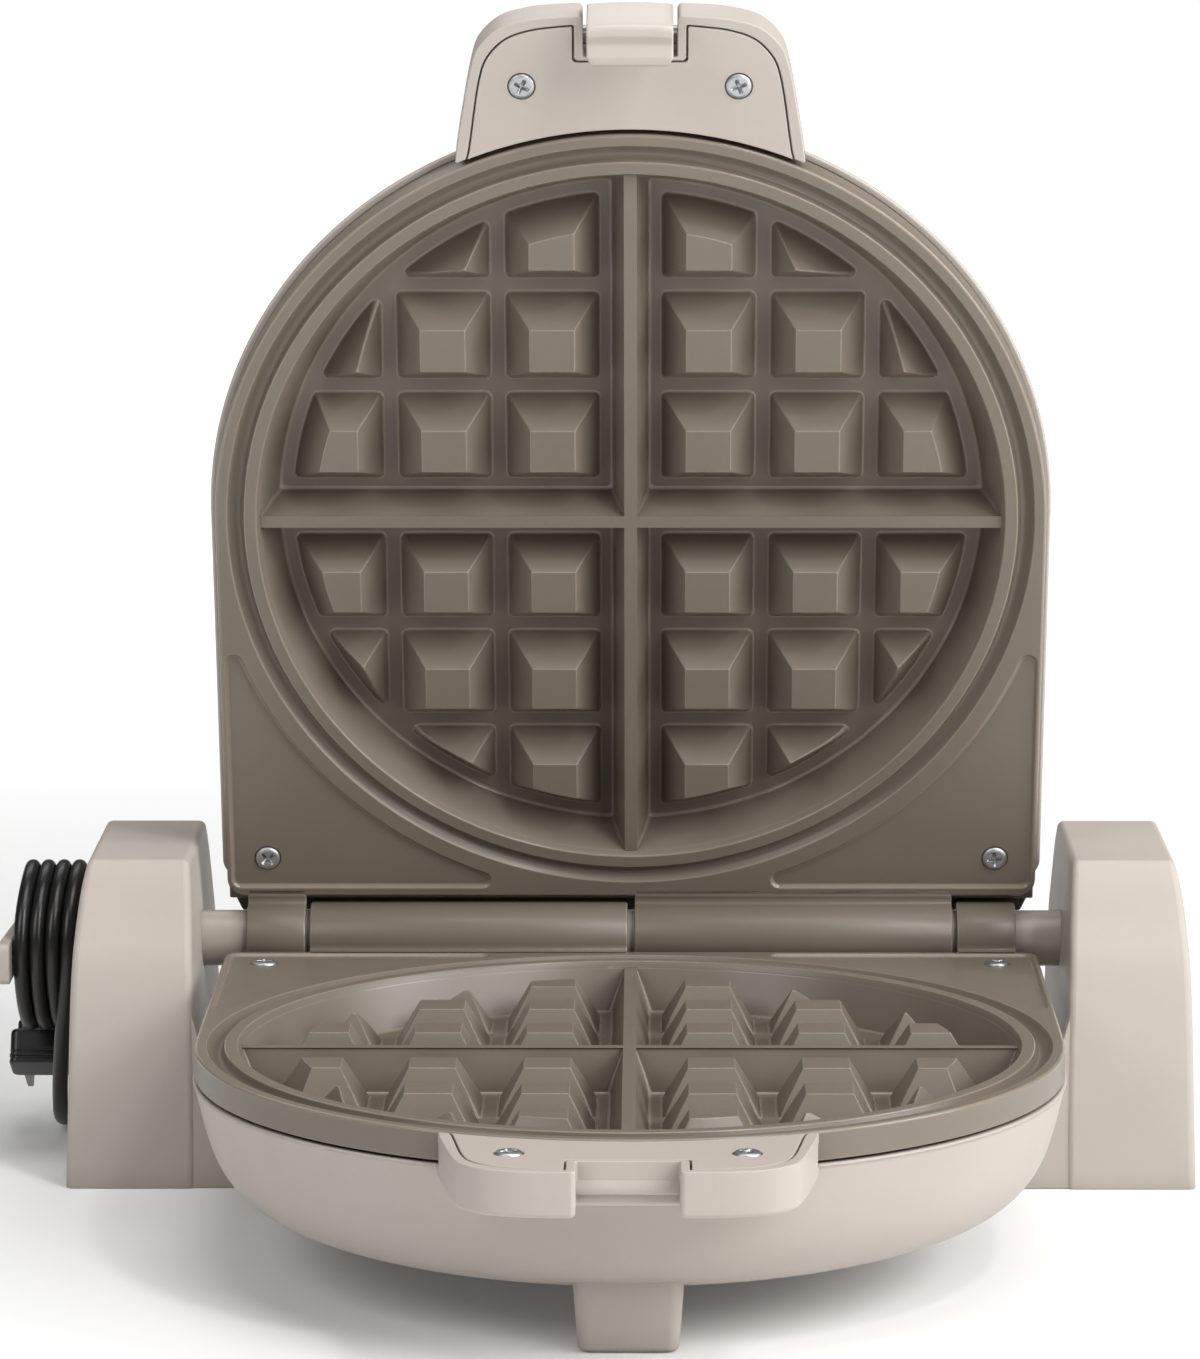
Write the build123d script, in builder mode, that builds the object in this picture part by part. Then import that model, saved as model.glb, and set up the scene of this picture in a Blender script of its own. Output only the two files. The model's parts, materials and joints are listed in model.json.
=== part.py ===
from build123d import *
import math
import os

os.makedirs("parts", exist_ok=True)

# ---------------------------------------------------------------- driving dimensions (mm)
# Frame: origin on the floor, in the middle of the front crossbar's flat underside.
# +X to the right of someone at the handle, +Y to the back, +Z up.
AXIS_Y = 40.0            # hinge axis behind the origin
AXIS_Z = 54.5            # hinge axis above the floor
OPEN = 72.9              # lid opening at rest, degrees

PLATE_L = 116.4          # plate centre, distance from the hinge axis
PLATE_R = 104.2          # half width of both halves
RIM = -1.3               # rim face below the middle plane
FLOOR = -13.5            # cavity floor below the middle plane
SKIRT = -8.3             # lower edge of the plate skirt
EDGE_L = 11.4            # hinge-side edge of the plate
CAV_TOP_R = 93.5         # cavity wall at the rim
CAV_FLOOR_R = 88.4       # cavity wall at the floor
RING_OUT_R = 96.6        # outer edge of the raised sealing ring
MOAT_OUT_R = 101.0       # outer edge of the overflow moat
GRID = (19.3, 46.3, 73.3)  # pyramid centres from the plate centre
TOP_S = 11.15            # pyramid top square
BASE_S = 23.2            # pyramid base square
PYR_TOP = -2.6           # pyramid top below the middle plane
RIB_TOP = -3.0           # top of the two crossing ribs

SHAFT_R = 7.15           # hinge shaft
SHAFT_BORE = 4.6
SHAFT_END = 128.2        # half length of the shaft
KNUCKLE_R = 9.5
KNUCKLE_BORE = 7.20      # 0.05 running clearance
BOWL_TOP = -8.9          # upper edge of the housing

PILLAR_TOP = 25.65       # above the axis
CORD_R = 2.0             # mains lead radius
COIL_R = 20.1            # middle of the wound turns
COIL_Z = -1.85

SCREW_HEAD_R = 3.2

# the two halves are drawn in one frame each: x along the hinge axis, -y away from it, +z to the food side
TH = math.radians(OPEN)
LOWER = Plane(origin=(0, AXIS_Y, AXIS_Z), x_dir=(1, 0, 0), z_dir=(0, 0, 1))
LID = Plane(origin=(0, AXIS_Y, AXIS_Z), x_dir=(-1, 0, 0), z_dir=(0, -math.sin(TH), -math.cos(TH)))
AXIS = Location((0, AXIS_Y, AXIS_Z))   # stand pieces are drawn from the hinge axis


def write(part, name):
    part.label = name
    export_step(part, "parts/" + name + ".step")


def lower(part, name):
    write(LOWER.location * part, name)


def lid(part, name):
    write(LID.location * part, name)


def stand(part, name):
    write(AXIS * part, name)


# ================================================================ the two grid plates
# One casting serves both halves: D-shaped rim, dished cavity, 32 pyramids, two crossing
# ribs and a long and a short hinge knuckle.
CUT_R_FLOOR, CUT_R_TOP = 84.6, 78.6     # the outer pyramids are cut back along this cone

with BuildPart() as pyramids:
    spots = [(sx * gx, -PLATE_L + sy * gy) for gx in GRID for gy in GRID for sx in (-1, 1) for sy in (-1, 1)
             if not (gx == GRID[2] and gy == GRID[2])]
    for px, py in spots:
        with BuildSketch(Plane.XY.offset(FLOOR - 0.6)):
            with Locations((px, py)):
                RectangleRounded(BASE_S + 0.66, BASE_S + 0.66, 1.0)
        with BuildSketch(Plane.XY.offset(PYR_TOP)):
            with Locations((px, py)):
                RectangleRounded(TOP_S, TOP_S, 0.5)
        loft(ruled=True)
    # keep what stands inside the cone that follows the cavity wall
    slope = (CUT_R_FLOOR - CUT_R_TOP) / (PYR_TOP - FLOOR)
    with BuildSketch(Plane.XY.offset(FLOOR - 0.6)):
        with Locations((0, -PLATE_L)):
            Circle(CUT_R_FLOOR + slope * 0.6)
    with BuildSketch(Plane.XY.offset(PYR_TOP)):
        with Locations((0, -PLATE_L)):
            Circle(CUT_R_TOP)
    loft(mode=Mode.INTERSECT)

with BuildPart() as ribs:
    for turn in (0, 90):
        prof = Plane(origin=(0, -PLATE_L, 0), x_dir=(0, 1, 0) if turn == 0 else (1, 0, 0),
                     z_dir=(1, 0, 0) if turn == 0 else (0, -1, 0))
        with BuildSketch(prof.offset(-95)):
            with BuildLine():
                Polyline((-4.7, FLOOR - 0.5), (-1.45, RIB_TOP - 0.3), (-1.05, RIB_TOP), (1.05, RIB_TOP),
                         (1.45, RIB_TOP - 0.3), (4.7, FLOOR - 0.5), close=True)
            make_face()
        extrude(amount=190)
    # the ribs end inside the cavity wall
    with BuildSketch(Plane.XY.offset(FLOOR - 0.6)):
        with Locations((0, -PLATE_L)):
            Circle(CAV_FLOOR_R + 0.6)
    with BuildSketch(Plane.XY.offset(RIM)):
        with Locations((0, -PLATE_L)):
            Circle(CAV_TOP_R - 0.6)
    loft(mode=Mode.INTERSECT)


def d_outline(half_w, hinge_l, corner):
    """D outline: straight hinge side with rounded corners, straight sides, half-round front."""
    r, h, c = half_w, hinge_l, corner
    k = c * (1 - math.sqrt(0.5))
    with BuildSketch(Plane.XY) as outline:
        with BuildLine():
            Line((-(r - c), -h), (r - c, -h))
            ThreePointArc((r - c, -h), (r - k, -(h + k)), (r, -(h + c)))
            Line((r, -(h + c)), (r, -PLATE_L))
            ThreePointArc((r, -PLATE_L), (0, -PLATE_L - r), (-r, -PLATE_L))
            Line((-r, -PLATE_L), (-r, -(h + c)))
            ThreePointArc((-r, -(h + c)), (-(r - k), -(h + k)), (-(r - c), -h))
        make_face()
    return outline.sketch_local


with BuildPart() as grid_plate:
    # rim flange
    with BuildSketch(Plane.XY.offset(-4.6)):
        add(d_outline(PLATE_R, EDGE_L, 4.5))
    extrude(amount=RIM + 4.6)
    rim_edges = grid_plate.faces().sort_by(Axis.Z)[-1].outer_wire().edges()
    fillet(rim_edges, 1.2)
    # skirt
    with BuildSketch(Plane.XY.offset(SKIRT)):
        add(d_outline(PLATE_R, EDGE_L, 4.5))
    extrude(amount=-4.6 - SKIRT)
    with BuildSketch(Plane.XY.offset(SKIRT)):
        add(d_outline(PLATE_R - 2.8, EDGE_L + 2.8, 2.6))
    extrude(amount=-4.6 - SKIRT, mode=Mode.SUBTRACT)
    # dish
    with BuildSketch(Plane.XY.offset(-17.0)):
        with Locations((0, -PLATE_L)):
            Circle(CAV_FLOOR_R + 1.8)
    with BuildSketch(Plane.XY.offset(-4.0)):
        with Locations((0, -PLATE_L)):
            Circle(CAV_TOP_R + 5.4)
    loft()
    # cavity, ring and moat
    with BuildSketch(Plane.XZ.offset(PLATE_L)):
        with BuildLine():
            Polyline((0, FLOOR), (CAV_FLOOR_R - 1.4, FLOOR), (CAV_FLOOR_R - 0.25, FLOOR + 0.45), (CAV_FLOOR_R + 0.45, FLOOR + 1.5),
                     (CAV_TOP_R - 0.35, RIM - 0.5), (CAV_TOP_R + 0.1, RIM), (CAV_TOP_R + 0.1, RIM + 1), (0, RIM + 1), close=True)
        make_face()
    revolve(axis=Axis((0, -PLATE_L, 0), (0, 0, 1)), mode=Mode.SUBTRACT)
    with BuildSketch(Plane.XZ.offset(PLATE_L)):
        with BuildLine():
            Polyline((RING_OUT_R, RIM + 1), (RING_OUT_R, RIM), (RING_OUT_R + 0.3, RIM - 0.45), (RING_OUT_R + 0.75, RIM - 1.9),
                     (RING_OUT_R + 1.5, RIM - 2.2), (RING_OUT_R + 2.3, RIM - 2.1),
                     (MOAT_OUT_R - 0.9, RIM - 0.9), (MOAT_OUT_R - 0.25, RIM - 0.3), (MOAT_OUT_R, RIM), (MOAT_OUT_R, RIM + 1), close=True)
        make_face()
    revolve(axis=Axis((0, -PLATE_L, 0), (0, 0, 1)), mode=Mode.SUBTRACT)
    # sunken corner panels beside the hinge
    for s in (-1, 1):
        with BuildSketch(Plane.XY.offset(RIM - 0.9)) as panel:
            with BuildLine():
                Polyline((s * 20, -13.7), (s * 102.8, -13.7), (s * 102.8, -100), (s * 20, -100), close=True)
            make_face()
            with Locations((0, -PLATE_L)):
                Circle(105.0, mode=Mode.SUBTRACT)
            fillet(panel.vertices(), 2.3)
        extrude(amount=2, mode=Mode.SUBTRACT)
    # pyramids and ribs
    add(pyramids.part)
    add(ribs.part)
    # hinge knuckles: long one on one side, short one on the other, each with a web to the rim
    for x0, x1 in ((-82.4, -0.9), (83.5, 98.6)):
        with BuildSketch(Plane.YZ.offset(x0)):
            with BuildLine():
                Polyline((0, RIM), (-EDGE_L - 1.6, RIM), (-EDGE_L - 1.6, SKIRT), (-3.5, -8.8), (0, -4), close=True)
            make_face()
            Circle(KNUCKLE_R)
        extrude(amount=x1 - x0)
        with BuildSketch(Plane.YZ.offset(x0)):
            Circle(KNUCKLE_BORE)
        extrude(amount=x1 - x0, mode=Mode.SUBTRACT)
    # screw holes at the hinge corners, and bosses that carry the screws
    for s in (-1, 1):
        with BuildSketch(Plane.XY.offset(-9.6)):
            with Locations((s * 93.2, -22)):
                Circle(4.6)
        extrude(amount=5.2)
    with Locations((-93.2, -22, RIM - 0.9), (93.2, -22, RIM - 0.9)):
        CounterBoreHole(radius=1.75, counter_bore_radius=3.45, counter_bore_depth=0.8, depth=12)

lower(grid_plate.part, "lower_grid_plate")
lid(grid_plate.part, "lid_grid_plate")

# ================================================================ the two housings
# outer shell: level, half width, hinge-side edge, corner radius; a smooth profile is run through
# these and cut into narrow rings
BOWL_KEYS = ((-8.9, 104.0, 12.6, 5.0), (-14.0, 102.8, 12.9, 6.0), (-20.0, 101.4, 14.2, 8.5), (-26.0, 99.4, 17.2, 12.0),
             (-31.0, 96.6, 21.5, 17.0), (-35.5, 92.2, 27.5, 24.0), (-39.0, 85.8, 35.0, 32.0), (-42.0, 75.4, 46.0, 39.0),
             (-44.2, 58.0, 62.0, 38.0), (-45.4, 34.0, 84.0, 26.0))
bowl_side = Spline(*[(r, h, n) for n, r, h, c in BOWL_KEYS])
bowl_corner = Spline(*[(r, c, n) for n, r, h, c in BOWL_KEYS])
BOWL = []
for i in range(17):
    q = bowl_side @ (i / 16)
    k = bowl_corner @ (i / 16)
    BOWL.append((q.Z, q.X, q.Y, min(k.Y, q.X - 2.0)))
WALL = 2.2
HANDLE_END = 250.4
COVER_T = 2.2
HANDLE_FLOOR = -11.8
NOTCH_X = 11.4

HANDLE = [(-42.6, 208.0), (-42.5, 212.8), (-38.2, 238.0), (-36.6, 242.3), (-31.6, 247.2), (-24.0, 249.5), (-11.4, 250.4)]


def mirrored(points):
    """close a half outline about the middle, handing back x, -l pairs"""
    full = list(points) + [(-x, l) for x, l in reversed(points)]
    return [(x, -l) for x, l in full]


with BuildPart() as inner_room:
    for n, r, h, c in BOWL:
        with BuildSketch(Plane.XY.offset(n + WALL)):
            add(d_outline(r - WALL, h + WALL, max(c - 1.5, 3.0)))
    loft(ruled=True)

with BuildPart() as bowl:
    for n, r, h, c in BOWL:
        with BuildSketch(Plane.XY.offset(n)):
            add(d_outline(r, h, c))
    loft(ruled=True)

with BuildPart() as corner_bosses:
    # posts that carry the grid plate's screws, standing on the bowl's inside
    with BuildSketch(Plane.XY.offset(-44)):
        with Locations((-93.2, -22), (93.2, -22)):
            Circle(4.4)
        with Locations((-98.5, -22), (98.5, -22)):
            Rectangle(9, 2.4)
    extrude(amount=34.3)
    add(bowl.part, mode=Mode.INTERSECT)

with BuildPart() as housing:
    add(bowl.part)
    # foot under the handle end
    with BuildSketch(Plane.XY.offset(-34)):
        with Locations((0, -195.4)):
            RectangleRounded(26.0, 17.4, 3.4)
    with BuildSketch(Plane.XY.offset(-AXIS_Z)):
        with Locations((0, -196.2)):
            RectangleRounded(22.9, 14.6, 3.0)
    loft()
    fillet(housing.faces().sort_by(Axis.Z)[0].outer_wire().edges(), 1.3)
    # handle tray
    with BuildSketch(Plane.XY.offset(HANDLE_FLOOR)):
        with BuildLine():
            Polyline(*mirrored(HANDLE), close=True)
        make_face()
    extrude(amount=RIM - HANDLE_FLOOR)
    tray_side = housing.edges().filter_by(Axis.Z).filter_by(
        lambda e: e.center().Y < -236 and abs(e.center().X) > 20)
    fillet(tray_side, 3.0)
    # the tray stands off the grid plate's skirt
    with BuildSketch(Plane.XY.offset(BOWL_TOP)):
        with Locations((0, -PLATE_L)):
            Circle(PLATE_R + 0.9)
        with Locations((0, -PLATE_L + 60)):
            Rectangle(2 * PLATE_R, 120, mode=Mode.ADD)
    extrude(amount=12, mode=Mode.SUBTRACT)
    # room inside the bowl
    add(inner_room.part, mode=Mode.SUBTRACT)
    # room inside the handle, and the seat of its cover
    with BuildSketch(Plane.XY.offset(RIM - COVER_T)):
        with BuildLine():
            Polyline(*mirrored([(-40.3, 208.0), (-35.95, 236.9), (-33.8, 241.1), (-29.8, 244.8), (-23.8, 246.9),
                                (-13.5, 248.1), (-13.5, 239.0)]), close=True)
        make_face()
    extrude(amount=COVER_T + 1, mode=Mode.SUBTRACT)
    with BuildSketch(Plane.XY.offset(HANDLE_FLOOR + 2.2)):
        with BuildLine():
            Polyline(*mirrored([(-37.6, 214.0), (-33.8, 236.3), (-28.4, 242.7), (-22.8, 244.8), (-15.4, 245.4), (-15.4, 235.2)]), close=True)
        make_face()
        with Locations((0, -PLATE_L)):
            Circle(PLATE_R + 2.9, mode=Mode.SUBTRACT)
    extrude(amount=12, mode=Mode.SUBTRACT)
    # catch notch through the handle end
    with BuildSketch(Plane.XY.offset(HANDLE_FLOOR - 1)):
        with BuildLine():
            Polyline((-NOTCH_X, -240.0), (NOTCH_X, -240.0), (NOTCH_X, -252), (-NOTCH_X, -252), close=True)
        make_face()
    extrude(amount=14, mode=Mode.SUBTRACT)
    # pocket under the catch wall for the hook
    with BuildSketch(Plane.XY.offset(HANDLE_FLOOR - 1)):
        with BuildLine():
            Polyline((-NOTCH_X, -237.2), (NOTCH_X, -237.2), (NOTCH_X, -241), (-NOTCH_X, -241), close=True)
        make_face()
    extrude(amount=4.0, mode=Mode.SUBTRACT)
    # bosses for the two handle cover screws
    for s in (-1, 1):
        with BuildSketch(Plane.XY.offset(HANDLE_FLOOR + 1)):
            with Locations((s * 26.2, -232.5)):
                Circle(3.6)
        extrude(amount=RIM - COVER_T - HANDLE_FLOOR - 1.02)
        with BuildSketch(Plane.XY.offset(HANDLE_FLOOR + 1.6)):
            with Locations((s * 26.2, -232.5)):
                Circle(1.3)
        extrude(amount=10, mode=Mode.SUBTRACT)
    # posts for the grid plate screws at the hinge corners
    add(corner_bosses.part)
    for s in (-1, 1):
        with BuildSketch(Plane.XY.offset(-17)):
            with Locations((s * 93.2, -22)):
                Circle(1.5)
        extrude(amount=9, mode=Mode.SUBTRACT)
    # seat of the foot's rubber pad
    with BuildSketch(Plane.XY.offset(-AXIS_Z)):
        with Locations((0, -196.2)):
            RectangleRounded(17, 9, 2)
    extrude(amount=1.2, mode=Mode.SUBTRACT)

print("housing valid", housing.part.is_valid, "solids", [(round(q.volume), q.center()) for q in housing.part.solids()])
PIN_L, PIN_N = 245.4, -5.2      # latch pin: distance from the hinge axis, level

with BuildPart() as lid_housing:
    add(housing.part)
    with BuildSketch(Plane.YZ.offset(-18)):
        with Locations((-PIN_L, PIN_N)):
            Circle(1.25)
    extrude(amount=36, mode=Mode.SUBTRACT)

lower(housing.part, "lower_housing")
lid(lid_housing.part, "lid_housing")

with BuildPart() as foot_pad:
    with BuildSketch(Plane.XY.offset(-AXIS_Z)):
        with Locations((0, -196.2)):
            RectangleRounded(16.8, 8.8, 1.9)
    extrude(amount=1.15)
lower(foot_pad.part, "lower_foot_pad")
lid(foot_pad.part, "lid_foot_pad")

with BuildPart() as handle_cover:
    with BuildSketch(Plane.XY.offset(RIM - COVER_T)):
        with BuildLine():
            Polyline(*mirrored([(-39.75, 210.0), (-35.65, 236.7), (-33.55, 240.9), (-29.65, 244.5), (-23.75, 246.55),
                                (-13.85, 247.7), (-13.85, 238.7)]), close=True)
        make_face()
        with Locations((0, -PLATE_L)):
            Circle(PLATE_R + 0.75, mode=Mode.SUBTRACT)
    extrude(amount=COVER_T)
    with Locations((-26.2, -232.5, RIM), (26.2, -232.5, RIM)):
        CounterBoreHole(radius=1.7, counter_bore_radius=3.45, counter_bore_depth=1.0, depth=6)
lower(handle_cover.part, "lower_handle_cover")
lid(handle_cover.part, "lid_handle_cover")


def cross_screws(spots, top, shank_r, length):
    """pan-head screws with a cross recess, head tops at the given level"""
    with BuildPart() as screws:
        for spot in spots:
            with BuildSketch(Plane.XY.offset(top - 1.5)):
                with Locations(spot):
                    Circle(SCREW_HEAD_R)
            extrude(amount=1.5)
            with BuildSketch(Plane.XY.offset(top - length)):
                with Locations(spot):
                    Circle(shank_r)
            extrude(amount=length - 1.5)
        heads = [f for f in screws.faces().filter_by(Plane.XY) if abs(f.center().Z - top) < 0.01]
        fillet([e for f in heads for e in f.edges()], 0.7)
        with BuildSketch(Plane.XY.offset(top - 0.75)):
            with Locations(*spots):
                Rectangle(3.4, 0.75)
                Rectangle(0.75, 3.4)
        extrude(amount=1, mode=Mode.SUBTRACT)
    return screws.part


handle_screws = cross_screws(((-26.2, -232.5), (26.2, -232.5)), RIM + 0.55, 1.25, 9.0)
lower(handle_screws, "lower_handle_screws")
lid(handle_screws, "lid_handle_screws")

plate_screws = cross_screws(((-93.2, -22), (93.2, -22)), RIM - 0.9 + 0.75, 1.45, 15.0)
lower(plate_screws, "lower_plate_screws")
lid(plate_screws, "lid_plate_screws")

# ---------------------------------------------------------------- inside each half
EL_R, EL_N = 3.2, -20.3
with BuildPart() as element:
    with BuildLine() as loop:
        FilletPolyline((-14, -44), (-14, -62), (-44, -70), (-64, -98), (-64, -134), (-42, -168), (-16, -180), (16, -180),
                       (42, -168), (64, -134), (64, -98), (44, -70), (14, -62), (14, -44), radius=9)
    with BuildSketch(Plane(origin=(-14, -44, 0), x_dir=(1, 0, 0), z_dir=(0, -1, 0))):
        Circle(EL_R)
    sweep()
    for s in (-1, 1):
        with BuildSketch(Plane(origin=(s * 14, -44, 0), x_dir=(1, 0, 0), z_dir=(0, 1, 0))):
            Circle(1.2)
        extrude(amount=9)
lower(Location((0, 0, EL_N)) * element.part, "lower_heating_element")
lid(Location((0, 0, EL_N)) * element.part, "lid_heating_element")

with BuildPart() as clamps:
    # three saddle straps that hold the element against the plate
    for cx, cy, a in ((-64, -116, 0), (64, -116, 0), (0, -180, 90)):
        base = Plane(origin=(cx, cy, 0), x_dir=(math.cos(math.radians(a)), math.sin(math.radians(a)), 0))
        with BuildSketch(Plane(origin=(cx, cy, 0), x_dir=base.x_dir, z_dir=base.y_dir).offset(-5)):
            with BuildLine():
                Polyline((-9, 17.05), (-9, 17.8), (-4.4, 17.8), (-4.4, 24.5), (4.4, 24.5), (4.4, 17.8), (9, 17.8),
                         (9, 17.05), (3.6, 17.05), (3.6, 23.7), (-3.6, 23.7), (-3.6, 17.05), close=True)
            make_face()
        extrude(amount=10)
lower(clamps.part, "lower_element_straps")
lid(clamps.part, "lid_element_straps")

with BuildPart() as reflector:
    # thin bright dish between the element and the housing
    with BuildSketch(Plane.XZ.offset(PLATE_L)):
        with BuildLine():
            Polyline((0, -31.0), (68, -31.0), (77, -28.6), (81, -25.2), (81.6, -25.4), (77.4, -29.2), (68.1, -31.6), (0, -31.6), close=True)
        make_face()
    revolve(axis=Axis((0, -PLATE_L, 0), (0, 0, 1)))
lower(reflector.part, "lower_heat_reflector")
lid(reflector.part, "lid_heat_reflector")

with BuildPart() as thermostat:
    with BuildSketch(Plane.XY.offset(-26.5)):
        with Locations((0, -112)):
            Circle(8.2)
    extrude(amount=9.4)
    with BuildSketch(Plane.XY.offset(-29.4)):
        with Locations((-4, -112), (4, -112)):
            Rectangle(1, 6)
    extrude(amount=3.2)
    with BuildSketch(Plane.XY.offset(-18.2)):
        with Locations((0, -112)):
            SlotOverall(25, 8)
    extrude(amount=1.1)
lower(thermostat.part, "lower_thermostat")

with BuildPart() as fuse:
    with BuildSketch(Plane.YZ.offset(-6)):
        with Locations((-112, -20.2)):
            Circle(2.2)
    extrude(amount=12)
    with BuildSketch(Plane.YZ.offset(-3)):
        with Locations((-112, -20.2)):
            Circle(2.9)
    extrude(amount=6)
    with BuildSketch(Plane.XY.offset(-18.0)):
        with Locations((0, -112)):
            Rectangle(6, 16)
    extrude(amount=0.9)
lid(fuse.part, "lid_thermal_fuse")

with BuildPart() as leads:
    # two heat-proof leads from the element's terminals to the hollow shaft's side of the housing
    for s in (-1, 1):
        with BuildLine() as run:
            FilletPolyline((s * 14, -34.98, EL_N), (s * 14, -29.5, EL_N), (s * 24, -27.5, -22.5), (s * 44, -28.5, -22.0), radius=2.6)
        with BuildSketch(Plane(origin=run.line @ 0, z_dir=run.line % 0)):
            Circle(1.1)
        sweep()
lower(leads.part, "lower_element_leads")
lid(leads.part, "lid_element_leads")

# ================================================================ latch on the lid handle
with BuildPart() as latch:
    # J-shaped clip: finger face, rounded bend, hook leg with a lip
    with BuildSketch(Plane.YZ.offset(-10.35)) as side:
        with BuildLine():
            Polyline((-250.9, -4.9), (-252.9, -4.9), (-253.1, 9.4), (-252.2, 11.6), (-250.6, 12.3), (-245.2, 12.0), (-244.4, 12.6),
                     (-242.7, 12.3), (-242.3, 11.2), (-242.8, 10.1), (-244.6, 9.8), (-249.6, 9.9), (-250.7, 8.8), close=True)
        make_face()
        with Locations((-PIN_L, PIN_N)):
            Circle(2.9)
        with BuildLine():
            Polyline((-PIN_L, PIN_N - 2.6), (-251.5, -4.9), (-251.5, 0.2), (-PIN_L, PIN_N + 2.6), close=True)
        make_face()
    extrude(amount=20.7)
    with BuildSketch(Plane.YZ.offset(-11)):
        with Locations((-PIN_L, PIN_N)):
            Circle(1.30)
    extrude(amount=22, mode=Mode.SUBTRACT)
lid(latch.part, "latch_hook")

with BuildPart() as latch_pin:
    with BuildSketch(Plane.YZ.offset(-13.3)):
        with Locations((-PIN_L, PIN_N)):
            Circle(1.24)
    extrude(amount=26.6)
lid(latch_pin.part, "latch_pin")

# ================================================================ stand
# half depth of the pillars by level, and their inner and outer faces
SIDE = ((28.3, 25.65), (33.2, 18.0), (36.5, 11.0), (40.7, 4.0), (43.2, -4.0), (45.0, -14.0), (46.6, -28.0), (47.7, -44.0), (48.1, -54.5))
INNER = ((111.5, 25.65), (110.9, 18.0), (110.3, 4.0), (109.9, -8.0), (109.6, -20.0), (109.5, -54.5))
OUTER = ((137.0, 25.65), (138.4, 20.0), (139.3, 14.0), (140.0, 7.0), (140.5, -1.0), (140.9, -12.0), (141.2, -25.0), (141.7, -44.0), (142.0, -54.5))
PW = 2.6


def pillar_side(shrink, top):
    pts = [(a - shrink, z) for a, z in SIDE]
    pts[0] = (pts[0][0], top)
    with BuildSketch(Plane.XY) as outline:
        with BuildLine():
            Spline(*[(-a, z) for a, z in pts])
            Line((-pts[-1][0], -AXIS_Z), (pts[-1][0], -AXIS_Z))
            Spline(*[(a, z) for a, z in reversed(pts)])
            Line((pts[0][0], top), (-pts[0][0], top))
        make_face()
    return outline.sketch_local


def pillar_front(s, shrink, top):
    inner = [(s * (x + shrink), z) for x, z in INNER]
    outer = [(s * (x - shrink), z) for x, z in OUTER]
    inner[0] = (inner[0][0], top)
    outer[0] = (outer[0][0], top)
    with BuildSketch(Plane.XY) as outline:
        with BuildLine():
            Spline(*inner)
            Line(inner[-1], outer[-1])
            Spline(*reversed(outer))
            Line(outer[0], inner[0])
        make_face()
    return outline.sketch_local


def pillar_block(s, shrink=0.0, top=PILLAR_TOP, rounding=0.0):
    with BuildPart() as block:
        with BuildSketch(Plane.YZ):
            add(pillar_side(shrink, top))
        extrude(amount=s * 160)
        with BuildSketch(Plane.XZ.offset(-70)):
            add(pillar_front(s, shrink, top))
        extrude(amount=140, mode=Mode.INTERSECT)
        if rounding:
            fillet([e for e in block.edges() if e.center().Z > -AXIS_Z + 0.5], rounding)
    return block.part


blocks = {(s, k): pillar_block(s, *((0.0, PILLAR_TOP, 1.8) if k == 0 else (PW, PILLAR_TOP - PW, 0.0)))
          for s in (-1, 1) for k in (0, 1)}

BAR_BACK = -31.0         # rear face of the front crossbar
BAR_TOP = -46.0
COVER_TOP = -50.8        # base covers
BLOCK_X = (113.4, 127.4)     # shaft blocks
SPOOL_X = 138.9          # seat of the cord spool on the left pillar
RELIEF = (-119.0, -40.0)     # where the mains lead enters, x and level
POSTS = [(s * 125.5, t * 37.0) for s in (-1, 1) for t in (-1, 1)]

with BuildPart() as crossbar:
    # flat bar on the floor that flares up into the pillars
    flare = [(111.0, -9.0), (108.9, -16.0), (105.4, -28.0), (98.5, -38.5), (88.0, -44.6), (76.0, BAR_TOP)]
    with BuildSketch(Plane.XZ.offset(-BAR_BACK)):
        with BuildLine():
            Spline(*flare)
            Line(flare[-1], (-flare[-1][0], BAR_TOP))
            Spline(*[(-x, z) for x, z in reversed(flare)])
            Polyline((-flare[0][0], flare[0][1]), (-111.0, -AXIS_Z), (111.0, -AXIS_Z), flare[0])
        make_face()
    extrude(amount=30)
    # its front follows the pillars' front, set back a little
    with BuildSketch(Plane.YZ.offset(-115)):
        add(pillar_side(0.6, PILLAR_TOP))
    extrude(amount=230, mode=Mode.INTERSECT)

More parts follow.
